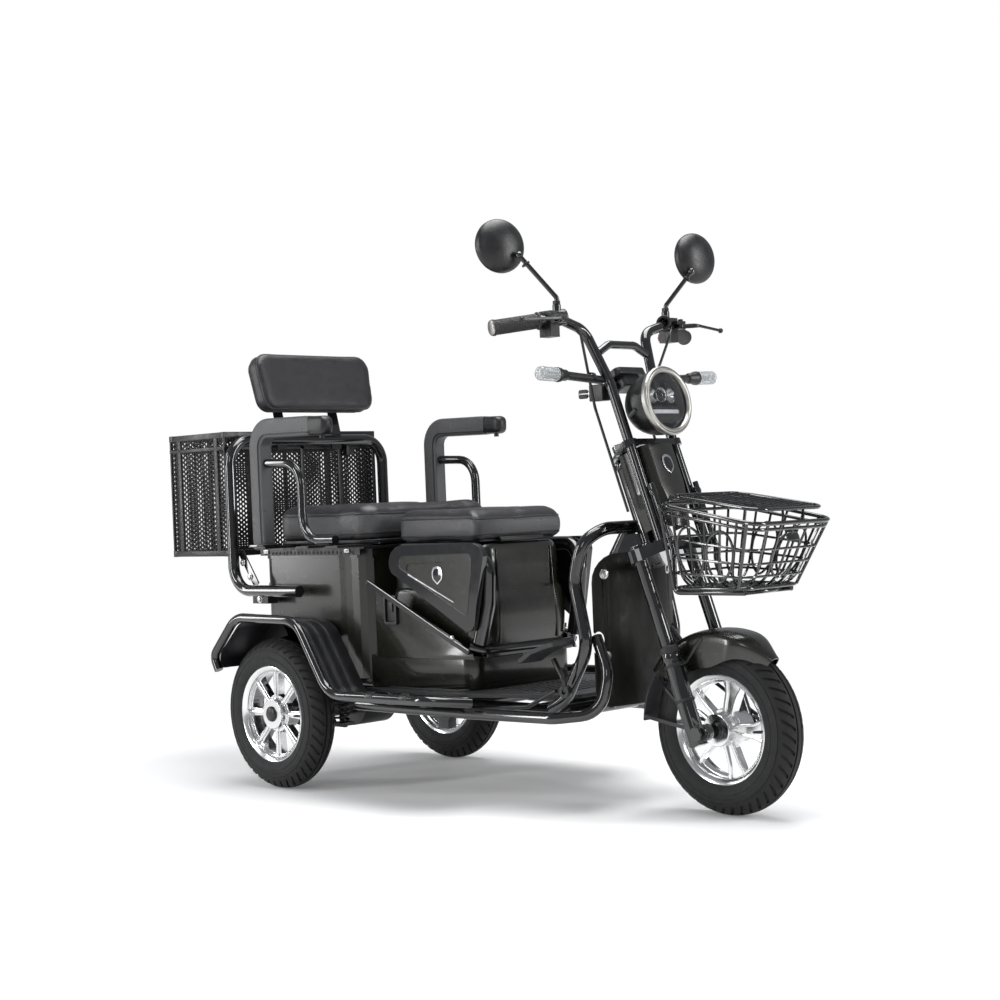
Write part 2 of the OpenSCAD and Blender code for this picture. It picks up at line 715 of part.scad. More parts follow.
module headlamp_lens() {
    r = lamp_d / 2 - 12.2;
    color(clear) on_lamp() rotate_extrude($fn = 64) polygon([[0, 2], [r, -3], [r, 3], [r - 6, 6], [0, 9]]);
}

module front_cover() {
    half = riser_v - bar_r - 5;
    shape = [[34, half], [82, half], [108, 36], [112, 0], [108, -36], [82, -half], [34, -half]];
    color(paint_olive) on_steering() difference() {
        translate([0, 0, -122]) linear_extrude(196) polygon(strip(shape, -4));
        translate([0, -80, bridge_w - 0.5]) cube([riser_u + 18, 160, 40]);
    }
}

module front_basket() {
    stay_u = riser_u + 22.9;
    stay_y = riser_v + 6;
    stay_r = 6;
    color(paint_black) {
        difference() {
            basket_tub(0);
            basket_tub(5);
        }
        both_sides() bent_tube([steer(stay_u, riser_v, -26), steer(stay_u, riser_v, crown_w - 4),
                   [640.5, stay_y, 466.5], [832, stay_y, 466.5]], stay_r, 14);
        translate([770, -stay_y, 461]) cube([60, 2 * stay_y, 9]);
    }
}
// Tub that narrows downward; the inset i moves every wall inward and lifts the floor.
module basket_tub(i) {
    half = front_basket_w / 2;
    polyhedron(
        points = [[648 + i, -112 + i, 473 + i], [838 - i, -100 + i, 470 + i], [838 - i, 100 - i, 470 + i],
                  [648 + i, 112 - i, 473 + i],
                  [648 + i, -half + i, 652 + i], [899 - i, 8 - half + i, 603 + i],
                  [899 - i, half - 8 - i, 603 + i], [648 + i, half - i, 652 + i]],
        faces = [[0, 1, 2, 3], [4, 5, 1, 0], [5, 6, 2, 1], [6, 7, 3, 2], [7, 4, 0, 3], [7, 6, 5, 4]]);
}
module basket_lid() {
    line = concat(arc(206, -90, 30, 270, 360, 4), arc(206, 90, 30, 0, 90, 4), [[8, 122], [0, 118], [0, -118], [8, -122]]);
    color(paint_black) translate([660, 0, 662]) rotate([0, 9, 0]) {
        difference() {
            linear_extrude(8) polygon(line);
            translate([0, 0, -1]) linear_extrude(10) polygon([for (p = line) [118 + (p[0] - 118) * 0.92, p[1] * 0.92]]);
        }
        for (y = [-84:28:84]) translate([4, y - 2.5, 1.5]) cube([228, 5, 5]);
        translate([110, -114, 2]) cube([5, 228, 5]);
        for (y = [-34, 34]) translate([232, y - 3, -22]) cube([4, 6, 26]);
    }
}

module indicators() {
    color(plastic_black) both_sides() {
        rod([466, riser_v + bar_r + 1, 918], [470, 210, 926], 9.5);
        rod([470, 200, 925.5], [471, 226, 928], 12);
    }
    color(clear) both_sides() rod([471, 226, 928], [474, 284, 930], 16);
}

display_p = [486, 0, 944];
module display() {
    color(plastic_black) {
        translate(display_p) rotate([0, -28, 0]) linear_extrude(24) polygon(rounded(-42, -58, 34, 58, 12));
        translate([433, -36, 894]) cube([45, 72, 50]);
        translate([405, -60, 874]) cube([52, 26, 40]);
    }
}

key_p = [404.5, -47, 894];
module ignition_key() {
    color(alloy) translate(key_p) rotate([0, -90, 0]) {
        translate([0, 0, 0.3]) cylinder(r = 8, h = 6);
        translate([-1.2, -10, 6]) cube([2.4, 20, 24]);
    }
}

module brake_cables() {
    color(rubber_black) for (s = [-1, 1]) {
        bent_tube([[pod_c[0] + 22, s * (pod_c[1] - 12.8), pod_c[2] - 2], [pod_c[0] + 44, s * 150, pod_c[2] - 20],
                   steer(riser_u - 52, s * (riser_v + 10), 180), steer(riser_u - 52, s * (riser_v + 10), -60)],
                  3, 26);
    }
}

// ---------- lower fork and front wheel guards ----------

slider_top = -374;
module fork_sliders() {
    color(paint_black) {
        on_steering() for (s = [-1, 1]) difference() {
            union() {
                translate([leg_u, s * leg_v, axle_w - 22]) cylinder(r = slider_r, h = slider_top - axle_w + 22);
                translate([leg_u, s * leg_v, slider_top - 16]) cylinder(r = slider_r + 2.5, h = 16);
                translate([axle_u, s * 85, axle_w]) rotate([90, 0, 0])
                    translate([0, 0, -13]) cylinder(r = 18, h = 26);
            }
            translate([leg_u, s * leg_v, -500]) cylinder(r = stanchion_r + running_gap, h = 200);
            translate([axle_u, s * 85, axle_w]) rotate([90, 0, 0]) translate([0, 0, -30]) cylinder(r = 8.5, h = 60);
        }
    }
    color(alloy) translate([front_x, 0, axle_z]) rotate([90, 0, 0]) {
        translate([0, 0, -108]) cylinder(r = spindle_r, h = 216);
        for (z = [-112, 98.5]) translate([0, 0, z]) cylinder(r = 15, h = 13.5, $fn = 6);
    }
}

module front_fender() {
    section = strip([[160, -53], [184, -52], [198, -40], [206, -20], [208, 0], [206, 20], [198, 40],
                     [184, 52], [160, 53]], 3);
    color(paint_olive) {
        translate([front_x, 0, axle_z]) rotate([90, 0, 0]) rotate([0, 0, 46])
            rotate_extrude(angle = 96, $fn = 72) polygon(section);
        on_steering() for (s = [-1, 1]) translate([leg_u - 8, s > 0 ? 52 : -66, slider_top - 40])
            cube([16, 14, 24]);
    }
}

module mud_flap() {
    color(rubber_black) translate([front_x, 0, axle_z]) rotate([90, 0, 0]) rotate([0, 0, 143])
        rotate_extrude(angle = 34, $fn = 72) polygon([[188, -48], [192, -48], [192, 48], [188, 48]]);
    color(paint_black) both_sides() side_plate(strip([[516, 196], [684, 168]], 8), 47, 50);
}

module brake_pedal() {
    pivot = [424, -190, 262];
    color(plastic_black) {
        bent_tube([pivot, pivot + [0, -6, 28], [398, -196, 330]], 6, 12);
        translate(pivot) rotate([90, 0, 0]) translate([0, 0, -7]) difference() {
            cylinder(r = 13, h = 14);
            translate([0, 0, -1]) cylinder(r = 6 + running_gap, h = 16);
        }
        side_plate(strip([[338, 322], [376, 344], [414, 356], [440, 362]], 9), -240, -172);
    }
}

// ---------- draw ----------

main_frame();
head_tube();
guard_hoop();
side_tubes();
leg_shield();
floor_board();
rear_box();
battery_box();
body_trim();
side_cover_left();
side_cover_right();
battery_pack();
controller();
rear_fender_left();
rear_fender_right();
roll_tube();
rear_basket();
seat_deck();
seat_guards();
armrest_left();
armrest_right();
backrest_pad();
tail_lamps();
shock_bodies();
shock_springs();
axle_housing();
rear_tyre_left();
rear_rim_left();
rear_tyre_right();
rear_rim_right();
steering_stem();
handlebar();
grip_left();
switch_pods();
mirror_stems();
headlamp_shell();
headlamp_ring();
headlamp_lens();
front_cover();
front_basket();
indicators();
display();
brake_cables();
throttle_grip();
brake_lever_left();
brake_lever_right();
mirror_left();
mirror_right();
basket_lid();
ignition_key();
horn_button();
turn_switch();
fork_sliders();
front_fender();
mud_flap();
front_tyre();
front_rim();
driver_seat();
passenger_seat();
brake_pedal();
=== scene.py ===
import json
import math

import bmesh
import bpy
from mathutils import Matrix, Vector

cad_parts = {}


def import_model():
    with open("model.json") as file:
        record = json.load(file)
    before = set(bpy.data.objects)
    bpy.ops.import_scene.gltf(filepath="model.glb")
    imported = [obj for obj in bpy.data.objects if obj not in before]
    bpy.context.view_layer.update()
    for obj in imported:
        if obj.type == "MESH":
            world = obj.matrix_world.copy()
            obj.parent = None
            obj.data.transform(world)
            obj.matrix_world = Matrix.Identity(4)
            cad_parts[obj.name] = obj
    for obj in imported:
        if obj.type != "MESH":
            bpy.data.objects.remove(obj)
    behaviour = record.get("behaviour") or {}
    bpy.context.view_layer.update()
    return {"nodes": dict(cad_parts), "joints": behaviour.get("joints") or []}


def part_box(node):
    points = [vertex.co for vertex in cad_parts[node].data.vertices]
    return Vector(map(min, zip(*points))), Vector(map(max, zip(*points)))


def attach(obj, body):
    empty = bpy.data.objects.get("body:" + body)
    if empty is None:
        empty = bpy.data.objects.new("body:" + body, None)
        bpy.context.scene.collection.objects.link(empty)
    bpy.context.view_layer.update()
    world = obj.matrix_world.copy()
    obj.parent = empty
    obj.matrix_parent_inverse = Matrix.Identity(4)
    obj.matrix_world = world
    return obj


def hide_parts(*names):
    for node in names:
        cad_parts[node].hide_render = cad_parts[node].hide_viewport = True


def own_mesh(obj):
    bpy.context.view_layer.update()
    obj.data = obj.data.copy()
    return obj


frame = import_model()

# ---------------------------------------------------------------- places taken from the frame

JOINTS = {j["name"]: j for j in frame["joints"]}
SIDES = (("left", 1), ("right", -1))


def middle(node):
    """Centre of a node's box."""
    low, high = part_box(node)
    return (low + high) / 2


def pivot(joint):
    """Point that a hinge turns about."""
    return Vector(JOINTS[joint]["pos_m"])


STEER_UP = Vector(JOINTS["steer"]["axis"]).normalized()
STEER_AHEAD = Vector((STEER_UP.z, 0, -STEER_UP.x))
HEAD = pivot("steer")


def steer(u, v, w):
    """Point u ahead of the steering axis, v to the left and w up along it."""
    return HEAD + STEER_AHEAD * u + Vector((0, v, 0)) + STEER_UP * w


LEG_U, LEG_V = 0.030, 0.085
RISER_U, RISER_V = 0.088, 0.072
BAR_R = 0.011
FRONT_AXLE = middle("front_tyre")
TYRE_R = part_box("front_tyre")[1].z / 2
TYRE_HALF = (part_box("front_tyre")[1].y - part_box("front_tyre")[0].y) / 2
RIM_R = 0.1145


# ---------------------------------------------------------------- building meshes

NEARLY_STRAIGHT = math.radians(88)
ARC_SHARE = 0.49


def rounded_path(points, bend, closed=False, steps=7):
    """Points with each corner turned into an arc of radius bend, or less where a side is short."""
    points = [Vector(p) for p in points]
    count = len(points)
    path = []
    for i, corner in enumerate(points):
        if not closed and i in (0, count - 1):
            path.append(corner)
            continue
        back = (points[i - 1] - corner).normalized()
        ahead = (points[(i + 1) % count] - corner).normalized()
        half = back.angle(ahead) / 2
        if half > NEARLY_STRAIGHT:
            path.append(corner)
            continue
        reach = min(bend / math.tan(half), ARC_SHARE * (points[i - 1] - corner).length,
                    ARC_SHARE * (points[(i + 1) % count] - corner).length)
        radius = reach * math.tan(half)
        centre = corner + (back + ahead).normalized() * (radius / math.sin(half))
        start = corner + back * reach - centre
        end = corner + ahead * reach - centre
        for k in range(steps + 1):
            path.append(centre + start.normalized().slerp(end.normalized(), k / steps) * radius)
    return path


def circle(radius, sides):
    return [(radius * math.cos(2 * math.pi * k / sides), radius * math.sin(2 * math.pi * k / sides))
            for k in range(sides)]


def soft_rectangle(half_x, half_y, power=4.0, sides=28):
    """Section that is nearly a rectangle, with full rounded corners."""
    section = []
    for k in range(sides):
        c, s = math.cos(2 * math.pi * k / sides), math.sin(2 * math.pi * k / sides)
        section.append((half_x * math.copysign(abs(c) ** (2 / power), c),
                        half_y * math.copysign(abs(s) ** (2 / power), s)))
    return section


class Piece:
    """Collects the faces of one piece, then makes its object."""

    def __init__(self):
        self.mesh = bmesh.new()

    def loft(self, rings, closed=False, wrap=True):
        """Skin over rings with as many points each: a closed chain of rings, or one with two ends."""
        rows = [[self.mesh.verts.new(p) for p in ring] for ring in rings]
        count = len(rows[0])
        pairs = list(zip(rows, rows[1:])) + ([(rows[-1], rows[0])] if closed else [])
        for low, high in pairs:
            for k in range(count if wrap else count - 1):
                n = (k + 1) % count
                self.mesh.faces.new((low[k], low[n], high[n], high[k]))
        if not closed:
            self.mesh.faces.new(list(reversed(rows[0])))
            self.mesh.faces.new(rows[-1])

    def sweep(self, path, section, closed=False, up=None, size=lambda t: 1.0):
        """Carries a section along a path without twisting it."""
        path = [Vector(p) for p in path]
        count = len(path)
        rings, side = [], None
        for i, p in enumerate(path):
            before = path[i - 1] if closed or i else p
            after = path[(i + 1) % count] if closed or i < count - 1 else p
            along = (after - before).normalized()
            if side is None or up is not None:
                guide = Vector(up) if up is not None else Vector((0, 0, 1))
                if abs(along.dot(guide)) > 0.95:
                    guide = Vector((1, 0, 0)) if up is None else side or Vector((1, 0, 0))
                side = along.cross(guide).normalized()
            else:
                side = (side - along * side.dot(along)).normalized()
            over = side.cross(along)
            grow = size(i / max(count - 1, 1))
            rings.append([p + side * (a * grow) + over * (b * grow) for a, b in section])
        self.loft(rings, closed)

    def tube(self, points, radius, bend=0.0, closed=False, sides=16, size=lambda t: 1.0):
        path = rounded_path(points, bend, closed) if bend else points
        self.sweep(path, circle(radius, sides), closed, size=size)

    def lathe(self, profile, place=Matrix.Identity(4), steps=64, wave=None):
        """Turns the profile, a list of (radius, height), about the local z axis."""
        rings = []
        for k in range(steps):
            a = 2 * math.pi * k / steps
            ring = []
            for r, h in profile:
                if wave:
                    r = wave(a, r, h)
                ring.append(place @ Vector((r * math.cos(a), r * math.sin(a), h)))
            rings.append(ring)
        self.loft(rings, closed=True, wrap=False)

    def slab(self, outline, depth, place=Matrix.Identity(4)):
        """Plate with an outline in the local xy plane, depth thick along z."""
        rows = [[self.mesh.verts.new(place @ Vector((x, y, z))) for x, y in outline] for z in (0, depth)]
        count = len(outline)
        for k in range(count):
            n = (k + 1) % count
            self.mesh.faces.new((rows[0][k], rows[0][n], rows[1][n], rows[1][k]))
        self.mesh.faces.new(list(reversed(rows[0])))
        self.mesh.faces.new(rows[1])

    def block(self, low, high, place=Matrix.Identity(4)):
        self.slab([(low[0], low[1]), (high[0], low[1]), (high[0], high[1]), (low[0], high[1])],
                  high[2] - low[2], place @ Matrix.Translation((0, 0, low[2])))

    def ball(self, centre, radius, steps=12):
        made = bmesh.ops.create_uvsphere(self.mesh, u_segments=2 * steps, v_segments=steps, radius=radius)
        bmesh.ops.translate(self.mesh, verts=made["verts"], vec=centre)

    def make(self, name, body, look, slot, bevel=0.0, sharp=35.0, stands_for=None):
        """Rounds the edges, shades the faces and lets the object ride on its body.

        The slot, a material slot of the record or a node that has one, is not used."""
        bm = self.mesh
        bmesh.ops.remove_doubles(bm, verts=bm.verts, dist=1e-6)
        bmesh.ops.recalc_face_normals(bm, faces=bm.faces)
        if bevel:
            edges = [e for e in bm.edges if len(e.link_faces) == 2
                     and e.calc_face_angle() > math.radians(sharp)]
            bmesh.ops.bevel(bm, geom=edges, offset=bevel, segments=3, profile=0.5,
                            affect="EDGES", clamp_overlap=True)
        for face in bm.faces:
            face.smooth = True
        for edge in bm.edges:
            turned = edge.calc_face_angle(0.0) if len(edge.link_faces) == 2 else 0.0
            edge.smooth = turned < math.radians(sharp)
        data = bpy.data.meshes.new(name)
        bm.to_mesh(data)
        bm.free()
        obj = place_in_scene(name, data)
        obj.data.materials.append(look)
        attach(obj, body)
        if stands_for:
            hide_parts(stands_for)
        return obj


def place_in_scene(name, data):
    obj = bpy.data.objects.new(name, data)
    bpy.context.scene.collection.objects.link(obj)
    return obj


def facing(origin, ahead, up=(0, 0, 1)):
    """Place whose local z points ahead and whose local y points up as far as it can."""
    z = Vector(ahead).normalized()
    x = Vector(up).cross(z).normalized()
    return Matrix.Translation(origin) @ Matrix((x, z.cross(x), z)).transposed().to_4x4()


def smoothstep(a, b, t):
    t = min(max((t - a) / (b - a), 0.0), 1.0)
    return t * t * (3 - 2 * t)


# ---------------------------------------------------------------- shared effects

def node_group(name, inputs, outputs):
    group = bpy.data.node_groups.new(name, "ShaderNodeTree")
    for label, kind, value in inputs:
        socket = group.interface.new_socket(label, in_out="INPUT", socket_type=kind)
        socket.default_value = value
    for label, kind in outputs:
        group.interface.new_socket(label, in_out="OUTPUT", socket_type=kind)
    return group, group.nodes.new("NodeGroupInput"), group.nodes.new("NodeGroupOutput")


def add(tree, kind, inputs=None, **settings):
    """A node with its settings, and its inputs given as values or as sockets to link."""
    node = tree.nodes.new(kind)
    for key, value in settings.items():
        setattr(node, key, value)
    for key, value in (inputs or {}).items():
        if isinstance(value, bpy.types.NodeSocket):
            tree.links.new(value, node.inputs[key])
        else:
            node.inputs[key].default_value = value
    return node


def math_node(tree, operation, a, b=0.0):
    return add(tree, "ShaderNodeMath", {0: a, 1: b}, operation=operation).outputs[0]


def place_on(tree):
    return add(tree, "ShaderNodeTexCoord").outputs["Object"]


def make_mottle():
    """Soft uneven tone: Value near 0.5 that drifts over the surface."""
    group, ins, outs = node_group(
        "Mottle", [("Scale", "NodeSocketFloat", 20.0), ("Depth", "NodeSocketFloat", 0.3)],
        [("Value", "NodeSocketFloat")])
    cloud = add(group, "ShaderNodeTexNoise", {"Vector": place_on(group), "Scale": ins.outputs["Scale"],
                                              "Detail": 5.0, "Roughness": 0.6})
    centred = math_node(group, "SUBTRACT", cloud.outputs["Fac"], 0.5)
    grown = math_node(group, "MULTIPLY", centred, ins.outputs["Depth"])
    group.links.new(math_node(group, "ADD", grown, 0.5), outs.inputs["Value"])
    return group


def make_edge_wear():
    """Mask that is high on outer edges, broken up by noise."""
    group, ins, outs = node_group(
        "Edge wear", [("Amount", "NodeSocketFloat", 0.5), ("Scale", "NodeSocketFloat", 60.0)],
        [("Mask", "NodeSocketFloat")])
    edge = add(group, "ShaderNodeNewGeometry").outputs["Pointiness"]
    ridge = add(group, "ShaderNodeMapRange", {"Value": edge, "From Min": 0.52, "From Max": 0.62})
    cloud = add(group, "ShaderNodeTexNoise", {"Vector": place_on(group), "Scale": ins.outputs["Scale"],
                                              "Detail": 4.0})
    broken = add(group, "ShaderNodeMapRange", {"Value": cloud.outputs["Fac"], "From Min": 0.45,
                                               "From Max": 0.7})
    both = math_node(group, "MULTIPLY", ridge.outputs["Result"], broken.outputs["Result"])
    group.links.new(math_node(group, "MULTIPLY", both, ins.outputs["Amount"]), outs.inputs["Mask"])
    return group


def make_dust():
    """Mask of fine dust that settles on faces that look up."""
    group, ins, outs = node_group(
        "Dust", [("Amount", "NodeSocketFloat", 0.2), ("Scale", "NodeSocketFloat", 35.0)],
        [("Mask", "NodeSocketFloat")])
    normal = add(group, "ShaderNodeNewGeometry").outputs["Normal"]
    height = add(group, "ShaderNodeSeparateXYZ", {"Vector": normal}).outputs["Z"]
    upward = add(group, "ShaderNodeMapRange", {"Value": height, "From Min": 0.1, "From Max": 1.0})
    cloud = add(group, "ShaderNodeTexNoise", {"Vector": place_on(group), "Scale": ins.outputs["Scale"],
                                              "Detail": 8.0, "Roughness": 0.7})
    both = math_node(group, "MULTIPLY", upward.outputs["Result"], cloud.outputs["Fac"])
    group.links.new(math_node(group, "MULTIPLY", both, ins.outputs["Amount"]), outs.inputs["Mask"])
    return group


def make_grain():
    """Pebbled grain of leather or of moulded plastic, as a height."""
    group, ins, outs = node_group(
        "Pebble grain", [("Scale", "NodeSocketFloat", 700.0)],
        [("Height", "NodeSocketFloat"), ("Crease", "NodeSocketFloat")])
    where = place_on(group)
    cells = add(group, "ShaderNodeTexVoronoi", {"Vector": where, "Scale": ins.outputs["Scale"]},
                feature="DISTANCE_TO_EDGE")
    crease = add(group, "ShaderNodeMapRange", {"Value": cells.outputs["Distance"], "From Min": 0.0,
                                               "From Max": 0.18})
    half_scale = math_node(group, "MULTIPLY", ins.outputs["Scale"], 0.35)
    folds = add(group, "ShaderNodeTexNoise", {"Vector": where, "Scale": half_scale, "Detail": 3.0})
    height = math_node(group, "ADD", crease.outputs["Result"], folds.outputs["Fac"])
    group.links.new(height, outs.inputs["Height"])
    group.links.new(crease.outputs["Result"], outs.inputs["Crease"])
    return group


MOTTLE = make_mottle()
EDGE_WEAR = make_edge_wear()
DUST = make_dust()
GRAIN = make_grain()


# ---------------------------------------------------------------- finishes

LIGHTER, DARKER = 1.35, 0.72
SMEAR_SCALE, WEAR_SCALE, DUST_SCALE, PEEL_SCALE = 2.3, 90.0, 35.0, 140.0
GRAIN_DEPTH, RIPPLE_DEPTH = 0.0006, 0.0004


def use(tree, group, **inputs):
    node = tree.nodes.new("ShaderNodeGroup")
    node.node_tree = group
    for key, value in inputs.items():
        node.inputs[key].default_value = value
    return node


def mix(tree, mask, first, second):
    node = tree.nodes.new("ShaderNodeMix")
    node.data_type = "RGBA"
    tree.links.new(mask, node.inputs["Factor"])
    for key, value in (("A", first), ("B", second)):
        socket = next(s for s in node.inputs if s.name == key and s.type == "RGBA")
        if isinstance(value, bpy.types.NodeSocket):
            tree.links.new(value, socket)
        else:
            socket.default_value = (*value, 1.0)
    return next(s for s in node.outputs if s.type == "RGBA")


def finish(name, colour, roughness, metallic=0.0, mottle=(22.0, 0.35), wear=0.0, worn=(0.35, 0.35, 0.35),
           dust=0.06, dusty=(0.30, 0.29, 0.27), grain=0.0, grain_scale=700.0, coat=0.0, coat_roughness=0.05,
           sheen=0.0, specular=0.5, spread=0.12, ripple=0.0):
    """A worked surface: uneven tone and gloss, edge wear, a little dust and a fine relief."""
    look = bpy.data.materials.new(name)
    look.use_nodes = True
    look.diffuse_color = (*colour, 1.0)
    tree = look.node_tree
    shader = tree.nodes["Principled BSDF"]
    for key, value in (("Coat Weight", coat), ("Coat Roughness", coat_roughness), ("Metallic", metallic),
                       ("Sheen Weight", sheen), ("Specular IOR Level", specular), ("Sheen Roughness", 0.4)):
        shader.inputs[key].default_value = value
    tone = use(tree, MOTTLE, Scale=mottle[0], Depth=mottle[1])
    light = tuple(min(c * LIGHTER + 0.002, 1.0) for c in colour)
    dark = tuple(c * DARKER for c in colour)
    paint = mix(tree, tone.outputs["Value"], dark, light)
    if wear:
        rub = use(tree, EDGE_WEAR, Amount=wear, Scale=WEAR_SCALE)
        paint = mix(tree, rub.outputs["Mask"], paint, worn)
    if dust:
        fall = use(tree, DUST, Amount=dust, Scale=DUST_SCALE)
        paint = mix(tree, fall.outputs["Mask"], paint, dusty)
    tree.links.new(paint, shader.inputs["Base Color"])
    smear = use(tree, MOTTLE, Scale=mottle[0] * SMEAR_SCALE, Depth=1.0)
    gloss = add(tree, "ShaderNodeMapRange", {"Value": smear.outputs["Value"], "From Min": 0.2,
                                             "From Max": 0.8, "To Min": max(roughness - spread, 0.02),
                                             "To Max": min(roughness + spread, 1.0)})
    tree.links.new(gloss.outputs["Result"], shader.inputs["Roughness"])
    if grain:
        pebbles = use(tree, GRAIN, Scale=grain_scale)
        bump = add(tree, "ShaderNodeBump", {"Strength": grain, "Distance": GRAIN_DEPTH,
                                            "Height": pebbles.outputs["Height"]})
        tree.links.new(bump.outputs["Normal"], shader.inputs["Normal"])
    elif ripple:
        peel = use(tree, MOTTLE, Scale=PEEL_SCALE, Depth=1.0)
        bump = add(tree, "ShaderNodeBump", {"Strength": ripple, "Distance": RIPPLE_DEPTH,
                                            "Height": peel.outputs["Value"]})
        tree.links.new(bump.outputs["Normal"], shader.inputs["Normal"])
    return look


def clear_finish(name, colour, roughness=0.02, weight=1.0):
    """Clear glass or plastic with a slightly uneven tint and gloss."""
    look = bpy.data.materials.new(name)
    look.use_nodes = True
    tree = look.node_tree
    shader = tree.nodes["Principled BSDF"]
    shader.inputs["Transmission Weight"].default_value = weight
    shader.inputs["IOR"].default_value = 1.45
    tone = use(tree, MOTTLE, Scale=30.0, Depth=0.15)
    tree.links.new(mix(tree, tone.outputs["Value"], tuple(c * 0.94 for c in colour), colour),
                   shader.inputs["Base Color"])
    gloss = add(tree, "ShaderNodeMapRange", {"Value": tone.outputs["Value"], "To Min": roughness,
                                             "To Max": roughness + 0.04})
    tree.links.new(gloss.outputs["Result"], shader.inputs["Roughness"])
    return look


BLACK_GLOSS = finish("gloss_black_paint", (0.0045, 0.0045, 0.005), 0.13, coat=0.8,
                     spread=0.04, dust=0.012)
BLACK_SATIN = finish("satin_black_paint", (0.006, 0.006, 0.0065), 0.34, wear=0.15, worn=(0.04, 0.04, 0.04),
                     dust=0.02)
OLIVE_GLOSS = finish("gloss_olive_panel", (0.0072, 0.0076, 0.0042), 0.25, coat=0.55, coat_roughness=0.10,
                     spread=0.05, dust=0.012)
OLIVE_SATIN = finish("satin_olive_panel", (0.0052, 0.0055, 0.0036), 0.46, grain=0.06, grain_scale=900.0,
                     dust=0.008, specular=0.25)
BOX_PAINT = finish("olive_box_paint", (0.0072, 0.0076, 0.0044), 0.30, coat=0.40, coat_roughness=0.16,
                   spread=0.05, dust=0.012)
PLASTIC = finish("moulded_black_plastic", (0.0075, 0.0075, 0.0085), 0.36, grain=0.10, grain_scale=1100.0,
                 dust=0.02)
FENDER_PLASTIC = finish("fender_plastic", (0.0085, 0.0085, 0.0105), 0.36, grain=0.10, grain_scale=900.0,
                        dust=0.03)
FLOOR_PLASTIC = finish("floor_plastic", (0.014, 0.014, 0.016), 0.42, grain=0.2, grain_scale=700.0, dust=0.05)
TYRE_RUBBER = finish("tyre_rubber", (0.009, 0.009, 0.0095), 0.62, grain=0.25, grain_scale=500.0, dust=0.03,
                     specular=0.35, dusty=(0.12, 0.115, 0.11), wear=0.2, worn=(0.05, 0.05, 0.05))
GRIP_RUBBER = finish("grip_rubber", (0.012, 0.012, 0.013), 0.52, grain=0.2, grain_scale=1200.0, dust=0.03)
CABLE_RUBBER = finish("cable_sheath", (0.007, 0.007, 0.008), 0.36, dust=0.01)
FLAP_RUBBER = finish("grey_flap_rubber", (0.030, 0.030, 0.034), 0.55, grain=0.2, grain_scale=600.0, dust=0.04)
LEATHER = finish("black_leather", (0.0125, 0.0112, 0.0135), 0.36, grain=0.16, grain_scale=520.0, sheen=0.03,
                 dust=0.008)
# Lighter grey leather. On the seats' upright sides its light tone is painted sheen for the side light falling
# there; the armrest pads use it too.
GREY_LEATHER_AND_PAINTED_SHEEN = finish("grey_leather_and_painted_sheen", (0.060, 0.061, 0.063), 0.34, grain=0.30, grain_scale=520.0,
                      dust=0.02, wear=0.15, worn=(0.14, 0.14, 0.14))
SHEET_PAINT = finish("perforated_sheet_paint", (0.005, 0.005, 0.0055), 0.55, specular=0.25, dust=0.01)
THREAD = finish("seam_thread", (0.12, 0.12, 0.13), 0.7, grain=0.3, grain_scale=2500.0, dust=0.0)
CHROME = finish("satin_chrome", (0.40, 0.39, 0.37), 0.33, metallic=1.0, dust=0.0, spread=0.08)
ALLOY = finish("bright_cast_alloy", (0.78, 0.78, 0.79), 0.20, metallic=1.0, wear=0.3, worn=(0.95, 0.95, 0.95),
               dust=0.02, spread=0.08, ripple=0.04)
ALLOY_DULL = finish("plain_alloy", (0.30, 0.30, 0.31), 0.36, metallic=1.0, dust=0.03, ripple=0.04)
ZINC = finish("zinc_fastener", (0.60, 0.60, 0.58), 0.28, metallic=1.0, dust=0.0, ripple=0.04)
MIRROR_GLASS = finish("mirror_glass", (0.86, 0.87, 0.88), 0.03, metallic=1.0, dust=0.0, spread=0.02)
LAMP_GLASS = clear_finish("lamp_glass", (0.96, 0.97, 0.98))
BULB_GLASS = clear_finish("ribbed_indicator_glass", (0.90, 0.92, 0.93), roughness=0.12, weight=0.75)
RED_LENS = finish("red_lens", (0.36, 0.008, 0.008), 0.12, coat=0.8, dust=0.01, grain=0.3, grain_scale=260.0)
RED_BUTTON = finish("red_button", (0.40, 0.020, 0.014), 0.35)
GREY_BUTTON = finish("grey_button", (0.16, 0.16, 0.17), 0.42)
WHITE_LED = finish("white_light_bar", (0.86, 0.88, 0.94), 0.3, dust=0.0)
BADGE_SILVER = finish("badge_silver", (0.68, 0.68, 0.70), 0.22, metallic=1.0, dust=0.0)
SCREEN = finish("display_screen", (0.012, 0.014, 0.016), 0.06, coat=1.0, dust=0.0)


# ---------------------------------------------------------------- carried-over nodes

NODE_LOOKS = {
    "main_frame": BLACK_GLOSS, "head_tube": BLACK_GLOSS, "leg_shield": OLIVE_SATIN,
    "floor_board": FLOOR_PLASTIC, "rear_box": BOX_PAINT, "body_trim": BLACK_GLOSS,
    "side_cover_left": BLACK_GLOSS, "side_cover_right": BLACK_GLOSS, "battery_pack": PLASTIC,
    "controller": ALLOY_DULL, "roll_tube": BLACK_GLOSS, "seat_deck": BLACK_SATIN, "tail_lamps": RED_LENS,
    "shock_bodies": ALLOY_DULL, "axle_housing": BLACK_SATIN, "rear_rim_left": ALLOY,
    "rear_rim_right": ALLOY, "steering_stem": BLACK_GLOSS, "handlebar": BLACK_GLOSS,
    "switch_pods": PLASTIC, "mirror_stems": BLACK_GLOSS, "ignition_key": ZINC, "horn_button": RED_BUTTON,
    "turn_switch": GREY_BUTTON, "fork_sliders": BLACK_GLOSS, "mud_flap": FLAP_RUBBER,
    "front_rim": ALLOY, "brake_pedal": PLASTIC, "brake_cables": CABLE_RUBBER,
}
